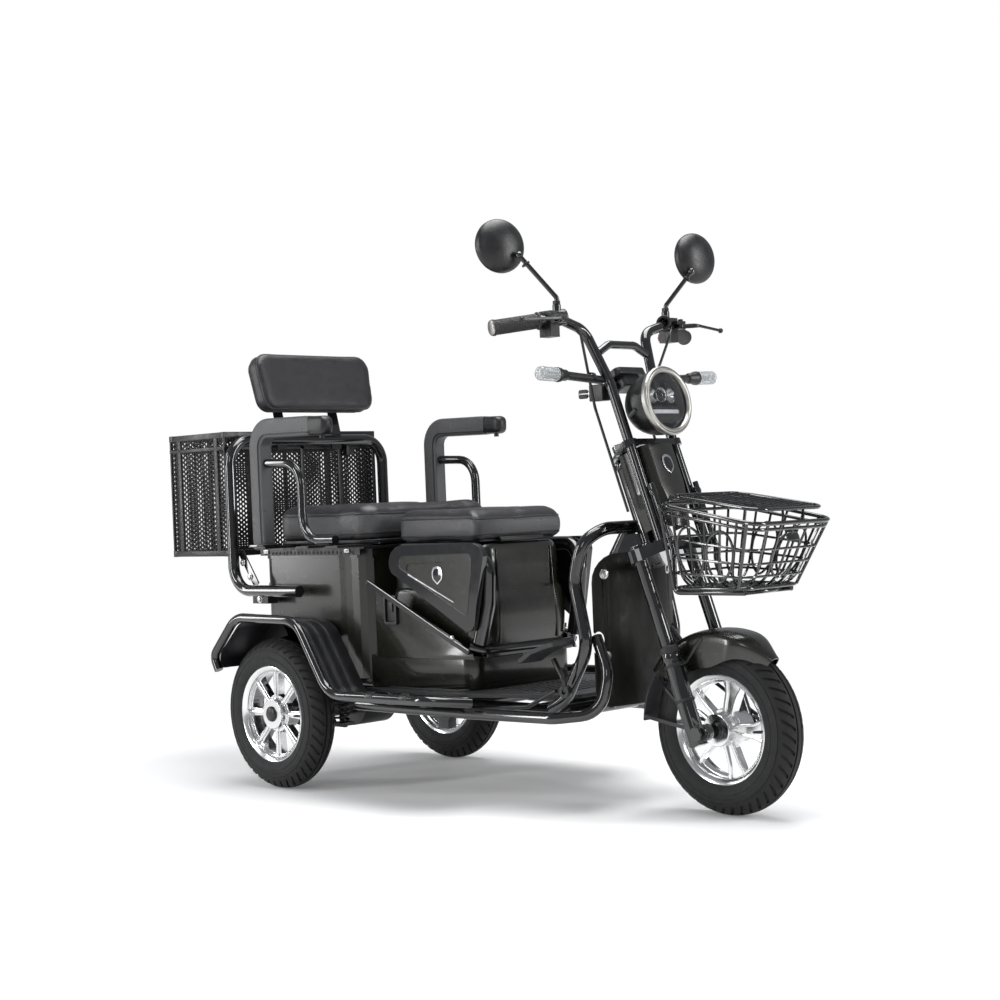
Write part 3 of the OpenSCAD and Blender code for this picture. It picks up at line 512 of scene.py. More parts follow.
EDGE_ROUNDING = {
    0.0004: ("ignition_key",), 0.0008: ("horn_button",),
    0.001: ("leg_shield", "seat_deck", "controller", "turn_switch", "mud_flap"),
    0.0012: ("fork_sliders", "shock_bodies"),
    0.0015: ("rear_box", "brake_pedal", "floor_board", "head_tube"),
    0.0018: ("rear_rim_left", "rear_rim_right", "front_rim"),
    0.002: ("steering_stem", "axle_housing", "tail_lamps"), 0.003: ("body_trim", "battery_pack"),
    0.004: ("side_cover_left", "side_cover_right", "switch_pods"),
}
ROUNDING = {node: width for width, nodes in EDGE_ROUNDING.items() for node in nodes}


def dress_nodes():
    """Gives each carried-over node its finish, and soft edges with hardened normals where a rounding is
    listed.
    """
    for name, look in NODE_LOOKS.items():
        node = frame["nodes"][name]
        node.data.materials.clear()
        node.data.materials.append(look)
        if name in ROUNDING:
            weld = node.modifiers.new("weld", "WELD")
            weld.merge_threshold = 1e-6
            soft = node.modifiers.new("soft_edges", "BEVEL")
            soft.width = ROUNDING[name]
            soft.segments = 2
            soft.limit_method = "ANGLE"
            soft.angle_limit = math.radians(40)
            soft.harden_normals = True


dress_nodes()


# ---------------------------------------------------------------- wheels

TREAD_PITCHES = 44
TREAD_CUT = 0.0042
SIPE_SLANT = 1.15
RIM_MID = 0.139


def tyre(node, body):
    """Tyre with slanted sipes, two ring grooves and ribs on the walls, all cut inward.

    Each row is an angle from the crown in degrees, then the share of the tread's cut there, between
    the sipes and in a sipe."""
    centre = middle(node)
    rows = [(0, 0, 0), (7, 0, 0), (8, 1, 1), (12, 1, 1), (13, 0, 0), (17, 0, 0), (18, 0, 1), (27, 0, 1),
            (36, 0, 1), (45, 0, 1), (53, 0, 0.7), (58, 0, 0.3), (60, 0, 0), (66, 0, 0), (67, 0.3, 0.3),
            (72, 0.3, 0.3),
            (73, 0, 0), (84, 0, 0), (85, 0.25, 0.25), (96, 0.25, 0.25), (97, 0, 0), (108, 0, 0), (118, 0, 0),
            (126.5, 0, 0)]
    rows = [(-a, plain, sipe) for a, plain, sipe in reversed(rows[1:])] + rows
    columns = [(0.0, 0), (0.05, 1), (0.26, 1), (0.31, 0), (0.62, 0)]
    piece = Piece()
    rings = []
    for pitch in range(TREAD_PITCHES):
        for shift, in_sipe in columns:
            ring = []
            for a, plain, sipe in rows:
                turn = 2 * math.pi * (pitch + shift + SIPE_SLANT * smoothstep(0, 70, abs(a))) / TREAD_PITCHES
                cut = TREAD_CUT * (sipe if in_sipe else plain)
                crown = RIM_MID + (TYRE_R - RIM_MID - cut) * math.cos(math.radians(a))
                across = (TYRE_HALF - cut * abs(math.sin(math.radians(a)))) * math.sin(math.radians(a))
                ring.append(centre + Vector((crown * math.cos(turn), across, crown * math.sin(turn))))
            rings.append(ring)
    piece.loft(rings, closed=True)
    piece.make(node + "_tread", body, TYRE_RUBBER, node, sharp=30, stands_for=node)


def wheel_place(node, side):
    """Place at the wheel's centre with local z along the axle, out of the tricycle."""
    return facing(middle(node), (0, side, 0))


def rim_parts(node, body, side, spokes, hub, reach, ribs):
    """Bright beads on the rim's edge, ribs along the spokes, a hub cap with its bolts, and a valve."""
    place = wheel_place(node, side)
    piece = Piece()
    for lip in (-1, 1):
        piece.lathe([(RIM_R - 0.010, lip * 0.027), (RIM_R - 0.006, lip * 0.0305),
                     (RIM_R - 0.001, lip * 0.0325), (RIM_R + 0.0015, lip * 0.031), (RIM_R, lip * 0.0285),
                     (RIM_R - 0.006, lip * 0.0265)], place, 96)
    for k in range(spokes):
        turn = place @ Matrix.Rotation(2 * math.pi * k / spokes, 4, "Z")
        for offset in ribs:
            line = [turn @ Vector((hub - 0.002, offset * 0.7, 0.0155)),
                    turn @ Vector((0.075, offset, 0.0145)),
                    turn @ Vector((RIM_R - 0.012, offset * 1.7, 0.0150))]
            piece.sweep(rounded_path(line, 0.05), soft_rectangle(0.0042, 0.0032, 3, 12),
                        up=turn.col[2].xyz)
    piece.make(node + "_ribs", body, ALLOY, node, sharp=40)
    cap = Piece()
    cap.lathe([(0, reach), (hub * 0.40, reach), (hub * 0.50, reach - 0.003), (hub * 0.54, reach - 0.010),
               (hub * 0.80, reach - 0.014), (hub * 0.98, reach - 0.020), (hub * 0.98, reach - 0.030),
               (0, reach - 0.030)], place)
    cap.make(node + "_hub_cap", body, BLACK_SATIN, node, sharp=40)
    bolts = Piece()
    for k in range(spokes):
        a = 2 * math.pi * (k + 0.5) / spokes
        bolts.slab(circle(0.0052, 6), 0.005, place @ Matrix.Translation(
            (hub * 0.78 * math.cos(a), hub * 0.78 * math.sin(a), reach - 0.014)))
    bolts.make(node + "_bolts", body, ZINC, node, bevel=0.0006)
    valve = Piece()
    stem = place @ Vector((RIM_R - 0.004, 0, 0.012))
    tip = place @ Vector((RIM_R - 0.030, 0, 0.030))
    valve.tube([stem, stem.lerp(tip, 0.6), tip], 0.0032, size=lambda t: 1.0 if t < 0.6 else 0.75)
    valve.make(node + "_valve", body, GRIP_RUBBER, node)


def all_wheels():
    tyre("front_tyre", "wheel_front")
    rim_parts("front_rim", "wheel_front", -1, 5, 0.034, 0.050, (-0.013, 0.013))
    for word, side in SIDES:
        tyre("rear_tyre_" + word, "wheel_rear_" + word)
        rim_parts("rear_rim_" + word, "wheel_rear_" + word, side, 8, 0.036, 0.036, (0.0,))


def front_fender():
    """Arched guard with a pointed nose and deep skirts, and its stays to the fork."""
    crown = 0.208
    rings = []
    for i in range(49):
        t = i / 48
        turn = math.radians(49 + 94 * t)
        half = 0.010 + 0.043 * smoothstep(-0.08, 0.30, t)
        skirt = 0.006 + 0.046 * smoothstep(0.04, 0.48, t) - 0.022 * smoothstep(0.62, 1.0, t)
        nose = 0.010 * (1 - smoothstep(0, 0.25, t))
        outer = []
        for k in range(17):
            a = math.pi * k / 16
            y = half * math.copysign(abs(math.cos(a)) ** 0.62, math.cos(a))
            outer.append((y, crown - nose - 0.026 * (1 - math.sin(a) ** 0.75)))
        low = crown - nose - 0.026 - skirt
        outer = [(half * 1.01, low)] + outer + [(-half * 1.01, low)]
        inner = [(y * 0.94, r - 0.003 if abs(y) < half * 0.9 else r) for y, r in reversed(outer)]
        rings.append([FRONT_AXLE + Vector((r * math.cos(turn), y, r * math.sin(turn)))
                      for y, r in outer + inner])
    piece = Piece()
    piece.loft(rings)
    piece.make("front_fender_shell", "lower_fork", OLIVE_GLOSS, "front_fender", sharp=50,
               stands_for="front_fender")
    stays = Piece()
    for side in (-1, 1):
        top = steer(LEG_U - 0.004, side * (LEG_V - 0.018), -0.398)
        stays.tube([top, top + Vector((0.012, -side * 0.012, 0.006)),
                    FRONT_AXLE + Vector((-0.02, side * 0.051, 0.190))], 0.005, bend=0.01)
        low = FRONT_AXLE + Vector((0, side * 0.098, 0.016))
        stays.tube([low, FRONT_AXLE + Vector((-0.10, side * 0.080, 0.085)),
                    FRONT_AXLE + Vector((-0.135, side * 0.052, 0.105))], 0.004, bend=0.03)
    stays.make("front_fender_stays", "lower_fork", BLACK_SATIN, "front_fender")


def fork_details():
    """Dust caps and clamp rings on the sliders, washers on the axle, and bolts on the crown."""
    caps, nuts = Piece(), Piece()
    for side in (-1, 1):
        seat = facing(steer(LEG_U, side * LEG_V, -0.374), STEER_UP)
        caps.lathe([(0.0145, 0), (0.0215, 0), (0.0225, 0.004), (0.021, 0.012), (0.0165, 0.016),
                    (0.0145, 0.016)], seat, 40)
        for drop in (-0.030, -0.105):
            caps.lathe([(0.0185, drop), (0.0212, drop + 0.001), (0.0212, drop + 0.006),
                        (0.0185, drop + 0.007)], seat, 40)
        washer = facing(FRONT_AXLE + Vector((0, side * 0.098, 0)), (0, side, 0))
        nuts.lathe([(0.009, 0), (0.019, 0), (0.019, 0.0015), (0.009, 0.0015)], washer, 32)
    caps.make("fork_dust_caps", "lower_fork", GRIP_RUBBER, "fork_sliders")
    nuts.make("fork_axle_nuts", "lower_fork", BLACK_SATIN, "fork_sliders", bevel=0.0006)
    crown = Piece()
    for side in (-1, 1):
        crown.slab(circle(0.011, 6), 0.010, facing(steer(LEG_U, side * LEG_V, -0.146), STEER_UP))
        pinch = steer(RISER_U + 0.016, side * RISER_V, -0.160)
        crown.slab(circle(0.006, 6), 0.006, facing(pinch, STEER_AHEAD))
    crown.slab(circle(0.017, 6), 0.012, facing(steer(0, 0, 0.094), STEER_UP))
    crown.make("steering_crown_bolts", "steering", ZINC, "steering_stem", bevel=0.001)


# ---------------------------------------------------------------- baskets

TUB_WIRE = 0.0027
TUB_BEND = 0.058
TUB_TOP = (Vector((0.653, 0.1445, 0.6505)), Vector((0.8945, 0.1365, 0.6035)))
TUB_LOW = (Vector((0.655, 0.108, 0.477)), Vector((0.832, 0.096, 0.4745)))


def tub_point(along, drop, side):
    """Point on a long side of the front basket, along from back to front and drop from rim to floor."""
    top = TUB_TOP[0].lerp(TUB_TOP[1], along)
    low = TUB_LOW[0].lerp(TUB_LOW[1], along)
    p = top.lerp(low, drop)
    return Vector((p.x, side * p.y, p.z))


def tub_ring(drop, bend):
    corners = [tub_point(0, drop, 1), tub_point(1, drop, 1), tub_point(1, drop, -1), tub_point(0, drop, -1)]
    return rounded_path(corners, bend, closed=True)


def leaf(piece, middle_point, across, down, half_width, half_height):
    """Leaf-shaped wire loop lying in a basket wall."""
    path = []
    for k in range(28):
        a = 2 * math.pi * k / 28
        path.append(middle_point + across * (half_width * math.sin(a) * abs(math.sin(a / 2)) ** 0.3 * 1.05)
                    + down * (half_height * math.cos(a)))
    piece.tube(path, TUB_WIRE, closed=True, sides=8)


def front_basket():
    """Wire tub with a double rim, leaf loops in its walls, a ring under the floor and two long stays."""
    rims, wires = Piece(), Piece()
    rims.tube(tub_ring(0, 0.040), 0.0045, closed=True)
    rims.tube(tub_ring(0.09, 0.040), 0.0035, closed=True)
    rims.tube(tub_ring(1.0, 0.035), 0.0035, closed=True)
    for side in (-1, 1):
        for inset in (0.04, 0.93):
            rims.tube([tub_point(inset, 0, side), tub_point(inset, 1, side)], 0.0035, sides=12)
    rims.make("front_basket_rims", "steering", BLACK_GLOSS, "front_basket", stands_for="front_basket")
    for drop in (0.40, 0.62, 0.82):
        wires.tube(tub_ring(drop, 0.038), TUB_WIRE, closed=True, sides=8)
    for i in range(1, 6):
        along = i / 6
        line = [tub_point(along, *way) for way in ((0, 1), (1, 1), (1, -1), (0, -1))]
        wires.tube(line, TUB_WIRE, bend=TUB_BEND, sides=8)
    for i in range(1, 6):
        f = 2 * i / 6 - 1
        ends = []
        for along, drop in ((1, 0), (1, 1), (0, 1), (0, 0)):
            p = tub_point(along, drop, 1)
            ends.append(Vector((p.x, p.y * f, p.z)))
        wires.tube(ends, TUB_WIRE, bend=TUB_BEND, sides=8)
    for side in (-1, 1):
        for centre in (0.33, 0.67):
            mid = tub_point(centre, 0.55, side)
            across = (tub_point(1, 0.55, side) - tub_point(0, 0.55, side)).normalized()
            down = (tub_point(centre, 1, side) - tub_point(centre, 0, side)).normalized()
            leaf(wires, mid, across, down, 0.034, 0.056)
    mid = tub_point(1, 0.5, 1)
    leaf(wires, Vector((mid.x, 0, mid.z)), Vector((0, 1, 0)), Vector((-0.4, 0, -0.92)), 0.044, 0.050)
    wires.make("front_basket_wires", "steering", BLACK_GLOSS, "front_basket")
    stays = Piece()
    for side in (-1, 1):
        path = [steer(0.111, side * RISER_V, -0.026), steer(0.111, side * RISER_V, -0.176),
                Vector((0.6405, side * 0.078, 0.4665)), Vector((0.822, side * 0.078, 0.4665))]
        stays.tube(path, 0.006, bend=0.014)
        stays.slab(circle(0.010, 24), 0.007, facing(steer(0.106, side * RISER_V, -0.045), STEER_AHEAD))
    oval = [Vector((0.775 + 0.052 * math.cos(a), 0.062 * math.sin(a), 0.4665))
            for a in (2 * math.pi * k / 40 for k in range(40))]
    stays.tube(oval, 0.004, closed=True)
    stays.block((0.774, -0.076, 0.4620), (0.826, 0.076, 0.4655))
    plate = facing(tub_point(1, 0.13, 1), (1, 0, 0.25))
    stays.slab([(-0.020, -0.012), (0.020, -0.012), (0.020, 0.010), (-0.020, 0.010)], 0.002,
               Matrix.Translation((-0.003, -plate.translation.y, -0.008)) @ plate)
    stays.make("front_basket_stays", "steering", BLACK_GLOSS, "front_basket", bevel=0.0008)


def basket_lid():
    """Flat wire lid, hooked over the front of the rim, that turns on two eyes at the back."""
    hinge = pivot("basket_lid_hinge")
    place = Matrix.Translation((hinge.x, 0, hinge.z - 0.004)) @ Matrix.Rotation(math.radians(9), 4, "Y")
    piece = Piece()

    def at(x, y, z=0.005):
        return place @ Vector((x, y, z))

    hoop = [at(0.004, 0.116), at(0.230, 0.116), at(0.230, -0.116), at(0.004, -0.116)]
    piece.tube(hoop, 0.0038, bend=0.036, closed=True, sides=12)
    for y in (-0.084, -0.056, -0.028, 0.0, 0.028, 0.056, 0.084):
        piece.tube([at(0.004, y), at(0.230, y)], TUB_WIRE, sides=8)
    for x in (0.085, 0.155):
        piece.tube([at(x, -0.116, 0.002), at(x, 0.116, 0.002)], TUB_WIRE, sides=8)
    for y in (-0.034, 0.034):
        piece.tube([at(0.231, y), at(0.234, y, -0.010), at(0.2335, y, -0.020), at(0.229, y, -0.023)], 0.0028,
                   bend=0.004, sides=10)
    for y in (-0.095, 0.095):
        piece.tube([at(0.003, y - 0.012, 0.0), at(0.003, y + 0.012, 0.0)], 0.0062, sides=16)
    piece.make("basket_lid_wires", "lid", BLACK_GLOSS, "basket_lid", stands_for="basket_lid")


TUB_DEPTH = 0.239
HOLE_STEP = 0.0086
HOLE_ROW = 0.0060
HOLE_R = 0.0038
SHEET = 0.0012


def perforate(piece, corner, across, up, width, height):
    """Sheet with staggered round holes, filling width by height from a corner."""
    a, b = HOLE_STEP, HOLE_ROW
    tip = (a * a + b * b) / (2 * a)
    flat = (a * a - b * b) / (2 * a)
    rim = [(tip, 0), (flat, b), (0, b), (-flat, b), (-tip, 0), (-flat, -b), (0, -b), (flat, -b)]
    out = across.cross(up) * (SHEET / 2)
    for j in range(1, int(height / b)):
        for i in range(1, int(width / (2 * a)) + 1):
            x, y = (2 * i - 1 + j % 2) * a, j * b
            if x > width - a / 2:
                continue
            loops = []
            for offset in (out, -out):
                spot = corner + across * x + up * y + offset
                edge = [piece.mesh.verts.new(spot + across * p + up * q) for p, q in rim]
                hole = []
                for p, q in rim:
                    size = HOLE_R / math.hypot(p, q)
                    hole.append(piece.mesh.verts.new(spot + across * (p * size) + up * (q * size)))
                loops.append((edge, hole))
            (edge_a, hole_a), (edge_b, hole_b) = loops
            for k in range(8):
                n = (k + 1) % 8
                piece.mesh.faces.new((edge_a[k], edge_a[n], hole_a[n], hole_a[k]))
                piece.mesh.faces.new((edge_b[n], edge_b[k], hole_b[k], hole_b[n]))
                piece.mesh.faces.new((hole_a[k], hole_a[n], hole_b[n], hole_b[k]))


def rear_basket():
    """Open box of perforated sheet in a frame of square rails and flat bars."""
    low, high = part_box("rear_basket")
    high = Vector((low.x + TUB_DEPTH, high.y, high.z))
    post = 0.016
    x_way, y_way, z_way = Vector((1, 0, 0)), Vector((0, 1, 0)), Vector((0, 0, 1))
    sheet = Piece()
    depth, width, tall = high.x - low.x, high.y - low.y, high.z - low.z - 0.010
    base = low.z + 0.005
    inset = 0.004
    depth, width = depth - 2 * inset, width - 2 * inset
    corner = Vector((low.x + inset, low.y + inset, base))
    perforate(sheet, corner, y_way, z_way, width, tall)
    perforate(sheet, Vector((high.x - inset, corner.y, base)), y_way, z_way, width, tall)
    perforate(sheet, corner, x_way, z_way, depth, tall)
    perforate(sheet, Vector((corner.x, high.y - inset, base)), x_way, z_way, depth, tall)
    perforate(sheet, corner, x_way, y_way, depth, width)
    sheet.make("rear_basket_panels", "root", SHEET_PAINT, "rear_basket", sharp=40,
               stands_for="rear_basket")
    rails = Piece()
    for z, tube in ((low.z, post), (high.z - post, post), (high.z - 0.046, 0.010)):
        for x in (low.x, high.x - tube):
            rails.block((x, low.y, z), (x + tube, high.y, z + tube))
        for y in (low.y, high.y - tube):
            rails.block((low.x + 0.001, y + 0.0005, z + 0.0005),
                        (high.x - 0.001, y + tube - 0.0005, z + tube - 0.0005))
    for x in (low.x, high.x - 0.007):
        for y in (low.y, high.y - 0.007):
            rails.block((x + 0.0005, y + 0.0005, low.z + 0.002), (x + 0.0065, y + 0.0065, high.z - 0.002))
    for y in (low.y + 0.125, 0.0, high.y - 0.125):
        for x in (low.x, high.x - 0.006):
            rails.block((x, y - 0.007, low.z + 0.003), (x + 0.006, y + 0.007, high.z - 0.003))
    for x in (low.x + 0.032, high.x - 0.048):
        for y in (low.y, high.y - 0.008):
            rails.block((x, y + 0.001, low.z + 0.003), (x + post, y + 0.007, high.z - 0.003))
    for y in (-0.150, 0.150):
        rails.block((high.x - 0.004, y - 0.012, low.z + 0.250), (high.x + 0.014, y + 0.012, low.z + 0.280))
    rails.make("rear_basket_rails", "root", BLACK_SATIN, "rear_basket", bevel=0.0015)


# ---------------------------------------------------------------- seats and pads

VOXEL = 0.006
PRESSURE = 4.0
SETTLE_FRAMES = 20


def swell(obj, cap, floor=None):
    """Remeshes a closed cover and inflates it as stuffed cloth, each point moving no further than cap."""
    scene = bpy.context.scene
    remesh = obj.modifiers.new("remesh", "REMESH")
    remesh.mode = "VOXEL"
    remesh.voxel_size = VOXEL
    graph = bpy.context.evaluated_depsgraph_get()
    data = bpy.data.meshes.new_from_object(obj.evaluated_get(graph))
    obj.modifiers.remove(remesh)
    obj.data = data
    cloth = obj.modifiers.new("cloth", "CLOTH")
    cloth.settings.quality = 5
    cloth.settings.use_pressure = True
    cloth.settings.uniform_pressure_force = PRESSURE
    cloth.settings.effector_weights.gravity = 0
    cloth.settings.tension_stiffness = 12
    start = [v.co.copy() for v in data.vertices]
    for step in range(1, SETTLE_FRAMES + 1):
        scene.frame_set(step)
    graph = bpy.context.evaluated_depsgraph_get()
    swollen = [v.co.copy() for v in obj.evaluated_get(graph).data.vertices]
    obj.modifiers.remove(cloth)
    scene.frame_set(1)
    for vertex, a, b in zip(data.vertices, start, swollen):
        move = b - a
        if move.length > cap:
            move *= cap / move.length
        vertex.co = a + move
    if floor is not None:
        for vertex in data.vertices:
            vertex.co.z = max(vertex.co.z, floor)


def soften(obj, rounds, look_at=None):
    """Relaxes the remeshed surface, then lets look_at shape each point."""
    bm = bmesh.new()
    bm.from_mesh(obj.data)
    for _ in range(rounds):
        bmesh.ops.smooth_vert(bm, verts=bm.verts, factor=0.5, use_axis_x=True, use_axis_y=True,
                              use_axis_z=True)
    if look_at:
        for vertex in bm.verts:
            look_at(vertex.co)
    bmesh.ops.subdivide_edges(bm, edges=bm.edges, cuts=1, use_grid_fill=True)
    for face in bm.faces:
        face.smooth = True
    bm.to_mesh(obj.data)
    bm.free()
    obj.data.update()


def on_surface(obj, points, lift=0.0):
    """Moves each point to the nearest place on the cover."""
    found = []
    for p in points:
        hit, place, normal, _ = obj.closest_point_on_mesh(Vector(p))
        found.append(place + normal * lift if hit else Vector(p))
    return found


def spaced(path, step, closed=True):
    """Points at an even step along a path."""
    path = [Vector(p) for p in path] + ([Vector(path[0])] if closed else [])
    total = sum((b - a).length for a, b in zip(path, path[1:]))
    count = max(int(total / step), 2)
    points, walked, target = [], 0.0, 0.0
    for a, b in zip(path, path[1:]):
        length = (b - a).length
        while target < walked + length + 1e-9 and len(points) < count:
            points.append(a.lerp(b, (target - walked) / max(length, 1e-9)))
            target += total / count
        walked += length
    return points


PIPING = 0.0016
STITCH = 0.0065


def sew(name, obj, body, path, slot, rows=(0.006,), sideways=(0, 0, 1)):
    """Piping along a seam, and a row of stitches at each distance from it."""
    trim = Piece()
    seam = on_surface(obj, spaced(path, 0.008))
    trim.sweep(seam, circle(PIPING, 8), closed=True)
    trim.make(name + "_piping", body, LEATHER, slot)
    thread = Piece()
    way = Vector(sideways)
    for row in rows:
        line = on_surface(obj, [p + way * row for p in spaced(path, STITCH)], 0.0002)
        for a, b in zip(line, line[1:]):
            thread.sweep([a.lerp(b, 0.12), a.lerp(b, 0.80)], circle(0.0006, 6))
    thread.make(name + "_stitches", body, THREAD, slot)


def paint_sheen_on_sides(obj, below, look):
    """Gives the upright faces below a height the lighter leather, a painted sheen for the light falling on
    the sides.
    """
    obj.data.materials.append(look)
    for polygon in obj.data.polygons:
        if polygon.center.z < below and abs(polygon.normal.z) < 0.75:
            polygon.material_index = 1


# Place whose local xy plane is the tricycle's xz plane, with local z towards the right.
UPRIGHT = Matrix(((1, 0, 0, 0), (0, 0, -1, 0), (0, 1, 0, 0), (0, 0, 0, 1)))


def arc(x, y, radius, start, end, steps=6):
    """Points on an arc about (x, y), from start to end in degrees."""
    turns = [math.radians(start + (end - start) * k / steps) for k in range(steps + 1)]
    return [(x + radius * math.cos(a), y + radius * math.sin(a)) for a in turns]


def rounded_outline(half_x, half_y, radius, steps=8):
    """Rectangle about the origin with its four corners rounded."""
    x, y = half_x - radius, half_y - radius
    return (arc(x, y, radius, 0, 90, steps) + arc(-x, y, radius, 90, 180, steps)
            + arc(-x, -y, radius, 180, 270, steps) + arc(x, -y, radius, 270, 360, steps))


def driver_seat():
    """Cushion with a round front edge on its own pan and hinge tube."""
    low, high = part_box("driver_seat")
    base = high.z - 0.073
    shrink = 0.004
    half = (high.y - low.y) / 2 - shrink
    top = high.z - shrink
    front = 0.134 - shrink
    nose = 0.036
    side = (arc(front - nose, top - nose, nose, 0, 90, 8)
            + arc(low.x + 0.030, top - 0.018, 0.020, 90, 180, 6)
            + [(low.x + 0.008, base + 0.002), (front - 0.004, base + 0.002)])
    start = Piece()
    start.slab(side, 2 * half, UPRIGHT @ Matrix.Translation((0, 0, -half)))
    obj = start.make("driver_seat_cover", "driver_saddle", LEATHER, "driver_seat", bevel=0.016,
                     sharp=50, stands_for="driver_seat")
    swell(obj, 0.006, floor=base - 0.001)

    def dish(co):
        lean = smoothstep(0.0, 1.0, 1 - abs(co.y) / 0.13) * smoothstep(0, 1, 1 - abs(co.x + 0.02) / 0.16)
        if co.z > high.z - 0.03:
            co.z -= 0.006 * lean

    soften(obj, 3, dish)
    # The upright sides take the lighter leather: painted sheen.
    paint_sheen_on_sides(obj, high.z - 0.020, GREY_LEATHER_AND_PAINTED_SHEEN)
    middle_x = (low.x + front) / 2
    for z, tag in ((high.z - 0.017, "upper"), (base + 0.010, "lower")):
        loop = [(middle_x + x, y, z) for x, y in rounded_outline((front - low.x) / 2, half + shrink, 0.03)]
        sew("driver_seat_" + tag, obj, "driver_saddle", loop, "driver_seat",
            rows=(0.0055, -0.0055) if tag == "upper" else (0.006,))
    pan = Piece()
    pan.block((low.x + 0.016, -0.120, 0.578), (0.110, 0.120, 0.588))
    pan.block((0.108, -0.070, 0.580), (0.1225, 0.070, 0.588))
    hinge = pivot("driver_seat_hinge")
    pan.tube([(hinge.x, y, hinge.z) for y in (-0.070, 0.070)], 0.0058, sides=24)
    pan.make("driver_seat_pan", "driver_saddle", PLASTIC, "driver_seat", bevel=0.001)


def passenger_seat():
    """Wide cushion with two shallow hollows, on a pan that is hinged at the back."""
    low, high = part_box("passenger_seat")
    back, front = -0.543, -0.167
    half = (high.y - low.y) / 2
    shrink = 0.007
    middle_x = (back + front) / 2
    outline = [(middle_x + x, y)
               for x, y in rounded_outline((front - back) / 2 - shrink, half - shrink, 0.050)]
    base = 0.586
    start = Piece()
    start.slab(outline, high.z - base - shrink - 0.003, Matrix.Translation((0, 0, base + 0.003)))
    obj = start.make("passenger_seat_cover", "passenger_saddle", LEATHER, "passenger_seat", bevel=0.022,
                     sharp=50, stands_for="passenger_seat")
    swell(obj, 0.009, floor=base)

    def dish(co):
        if co.z > base + 0.045:
            lean = (smoothstep(0, 1, 1 - abs(co.y) / 0.20)
                    * smoothstep(0, 1, 1 - abs(co.x - middle_x - 0.03) / 0.17))
            co.z -= 0.008 * lean
            for centre in (-0.095, 0.095):
                bowl = ((co.y - centre) / 0.085) ** 2 + ((co.x - middle_x - 0.01) / 0.11) ** 2
                co.z -= 0.009 * math.exp(-bowl)

    soften(obj, 3, dish)
    # The upright sides take the lighter leather: painted sheen.
    paint_sheen_on_sides(obj, high.z - 0.026, GREY_LEATHER_AND_PAINTED_SHEEN)
    for z, tag in ((high.z - 0.022, "upper"), (base + 0.012, "lower")):
        loop = [(middle_x + x, y, z) for x, y in rounded_outline((front - back) / 2, half, 0.055)]
        sew("passenger_seat_" + tag, obj, "passenger_saddle", loop, "passenger_seat",
            rows=(0.0055, -0.0055) if tag == "upper" else (0.006,))
    pan = Piece()
    pan.slab([(middle_x + x, y) for x, y in rounded_outline(0.178, 0.205, 0.05)], 0.0085,
             Matrix.Translation((0, 0, 0.5822)))
    pan.block((-0.556, -0.080, 0.5772), (-0.500, 0.080, 0.5900))
    pan.make("passenger_seat_pan", "passenger_saddle", PLASTIC, "passenger_seat", bevel=0.0015)


def backrest():
    """Leaning pad with two piped seams and a board behind it."""
    place = Matrix.Translation((-0.632, 0, 0.981)) @ Matrix.Rotation(math.radians(-13), 4, "Y")
    outline = (arc(0.150, 0.040, 0.038, 0, 90) + arc(-0.150, 0.040, 0.038, 90, 180)
               + arc(-0.148, -0.036, 0.034, 180, 270) + arc(0.148, -0.036, 0.034, 270, 360))
    upward = place @ Matrix(((0, 0, 1, 0), (1, 0, 0, 0), (0, 1, 0, 0), (0, 0, 0, 1)))
    start = Piece()
    start.slab(outline, 0.042, upward @ Matrix.Translation((0, 0, 0.003)))
    obj = start.make("backrest_cover", "root", LEATHER, "backrest_pad", bevel=0.008, sharp=50,
                     stands_for="backrest_pad")
    swell(obj, 0.0025)
    soften(obj, 2)
    full = [(x * 1.02, y * 1.04) for x, y in outline]
    for depth, tag in ((0.010, "rear"), (0.036, "front")):
        loop = [upward @ Vector((x, y, depth)) for x, y in full]
        sew("backrest_" + tag, obj, "root", loop, "backrest_pad", rows=(0.005,),
            sideways=upward.col[2].xyz * (1 if tag == "front" else -1))
    shell = Piece()
    shell.slab([(x * 0.96, y * 0.95) for x, y in outline], 0.005,
               upward @ Matrix.Translation((0, 0, -0.0035)))
    shell.make("backrest_board", "root", PLASTIC, "backrest_pad", bevel=0.0015)


POST_X = -0.468


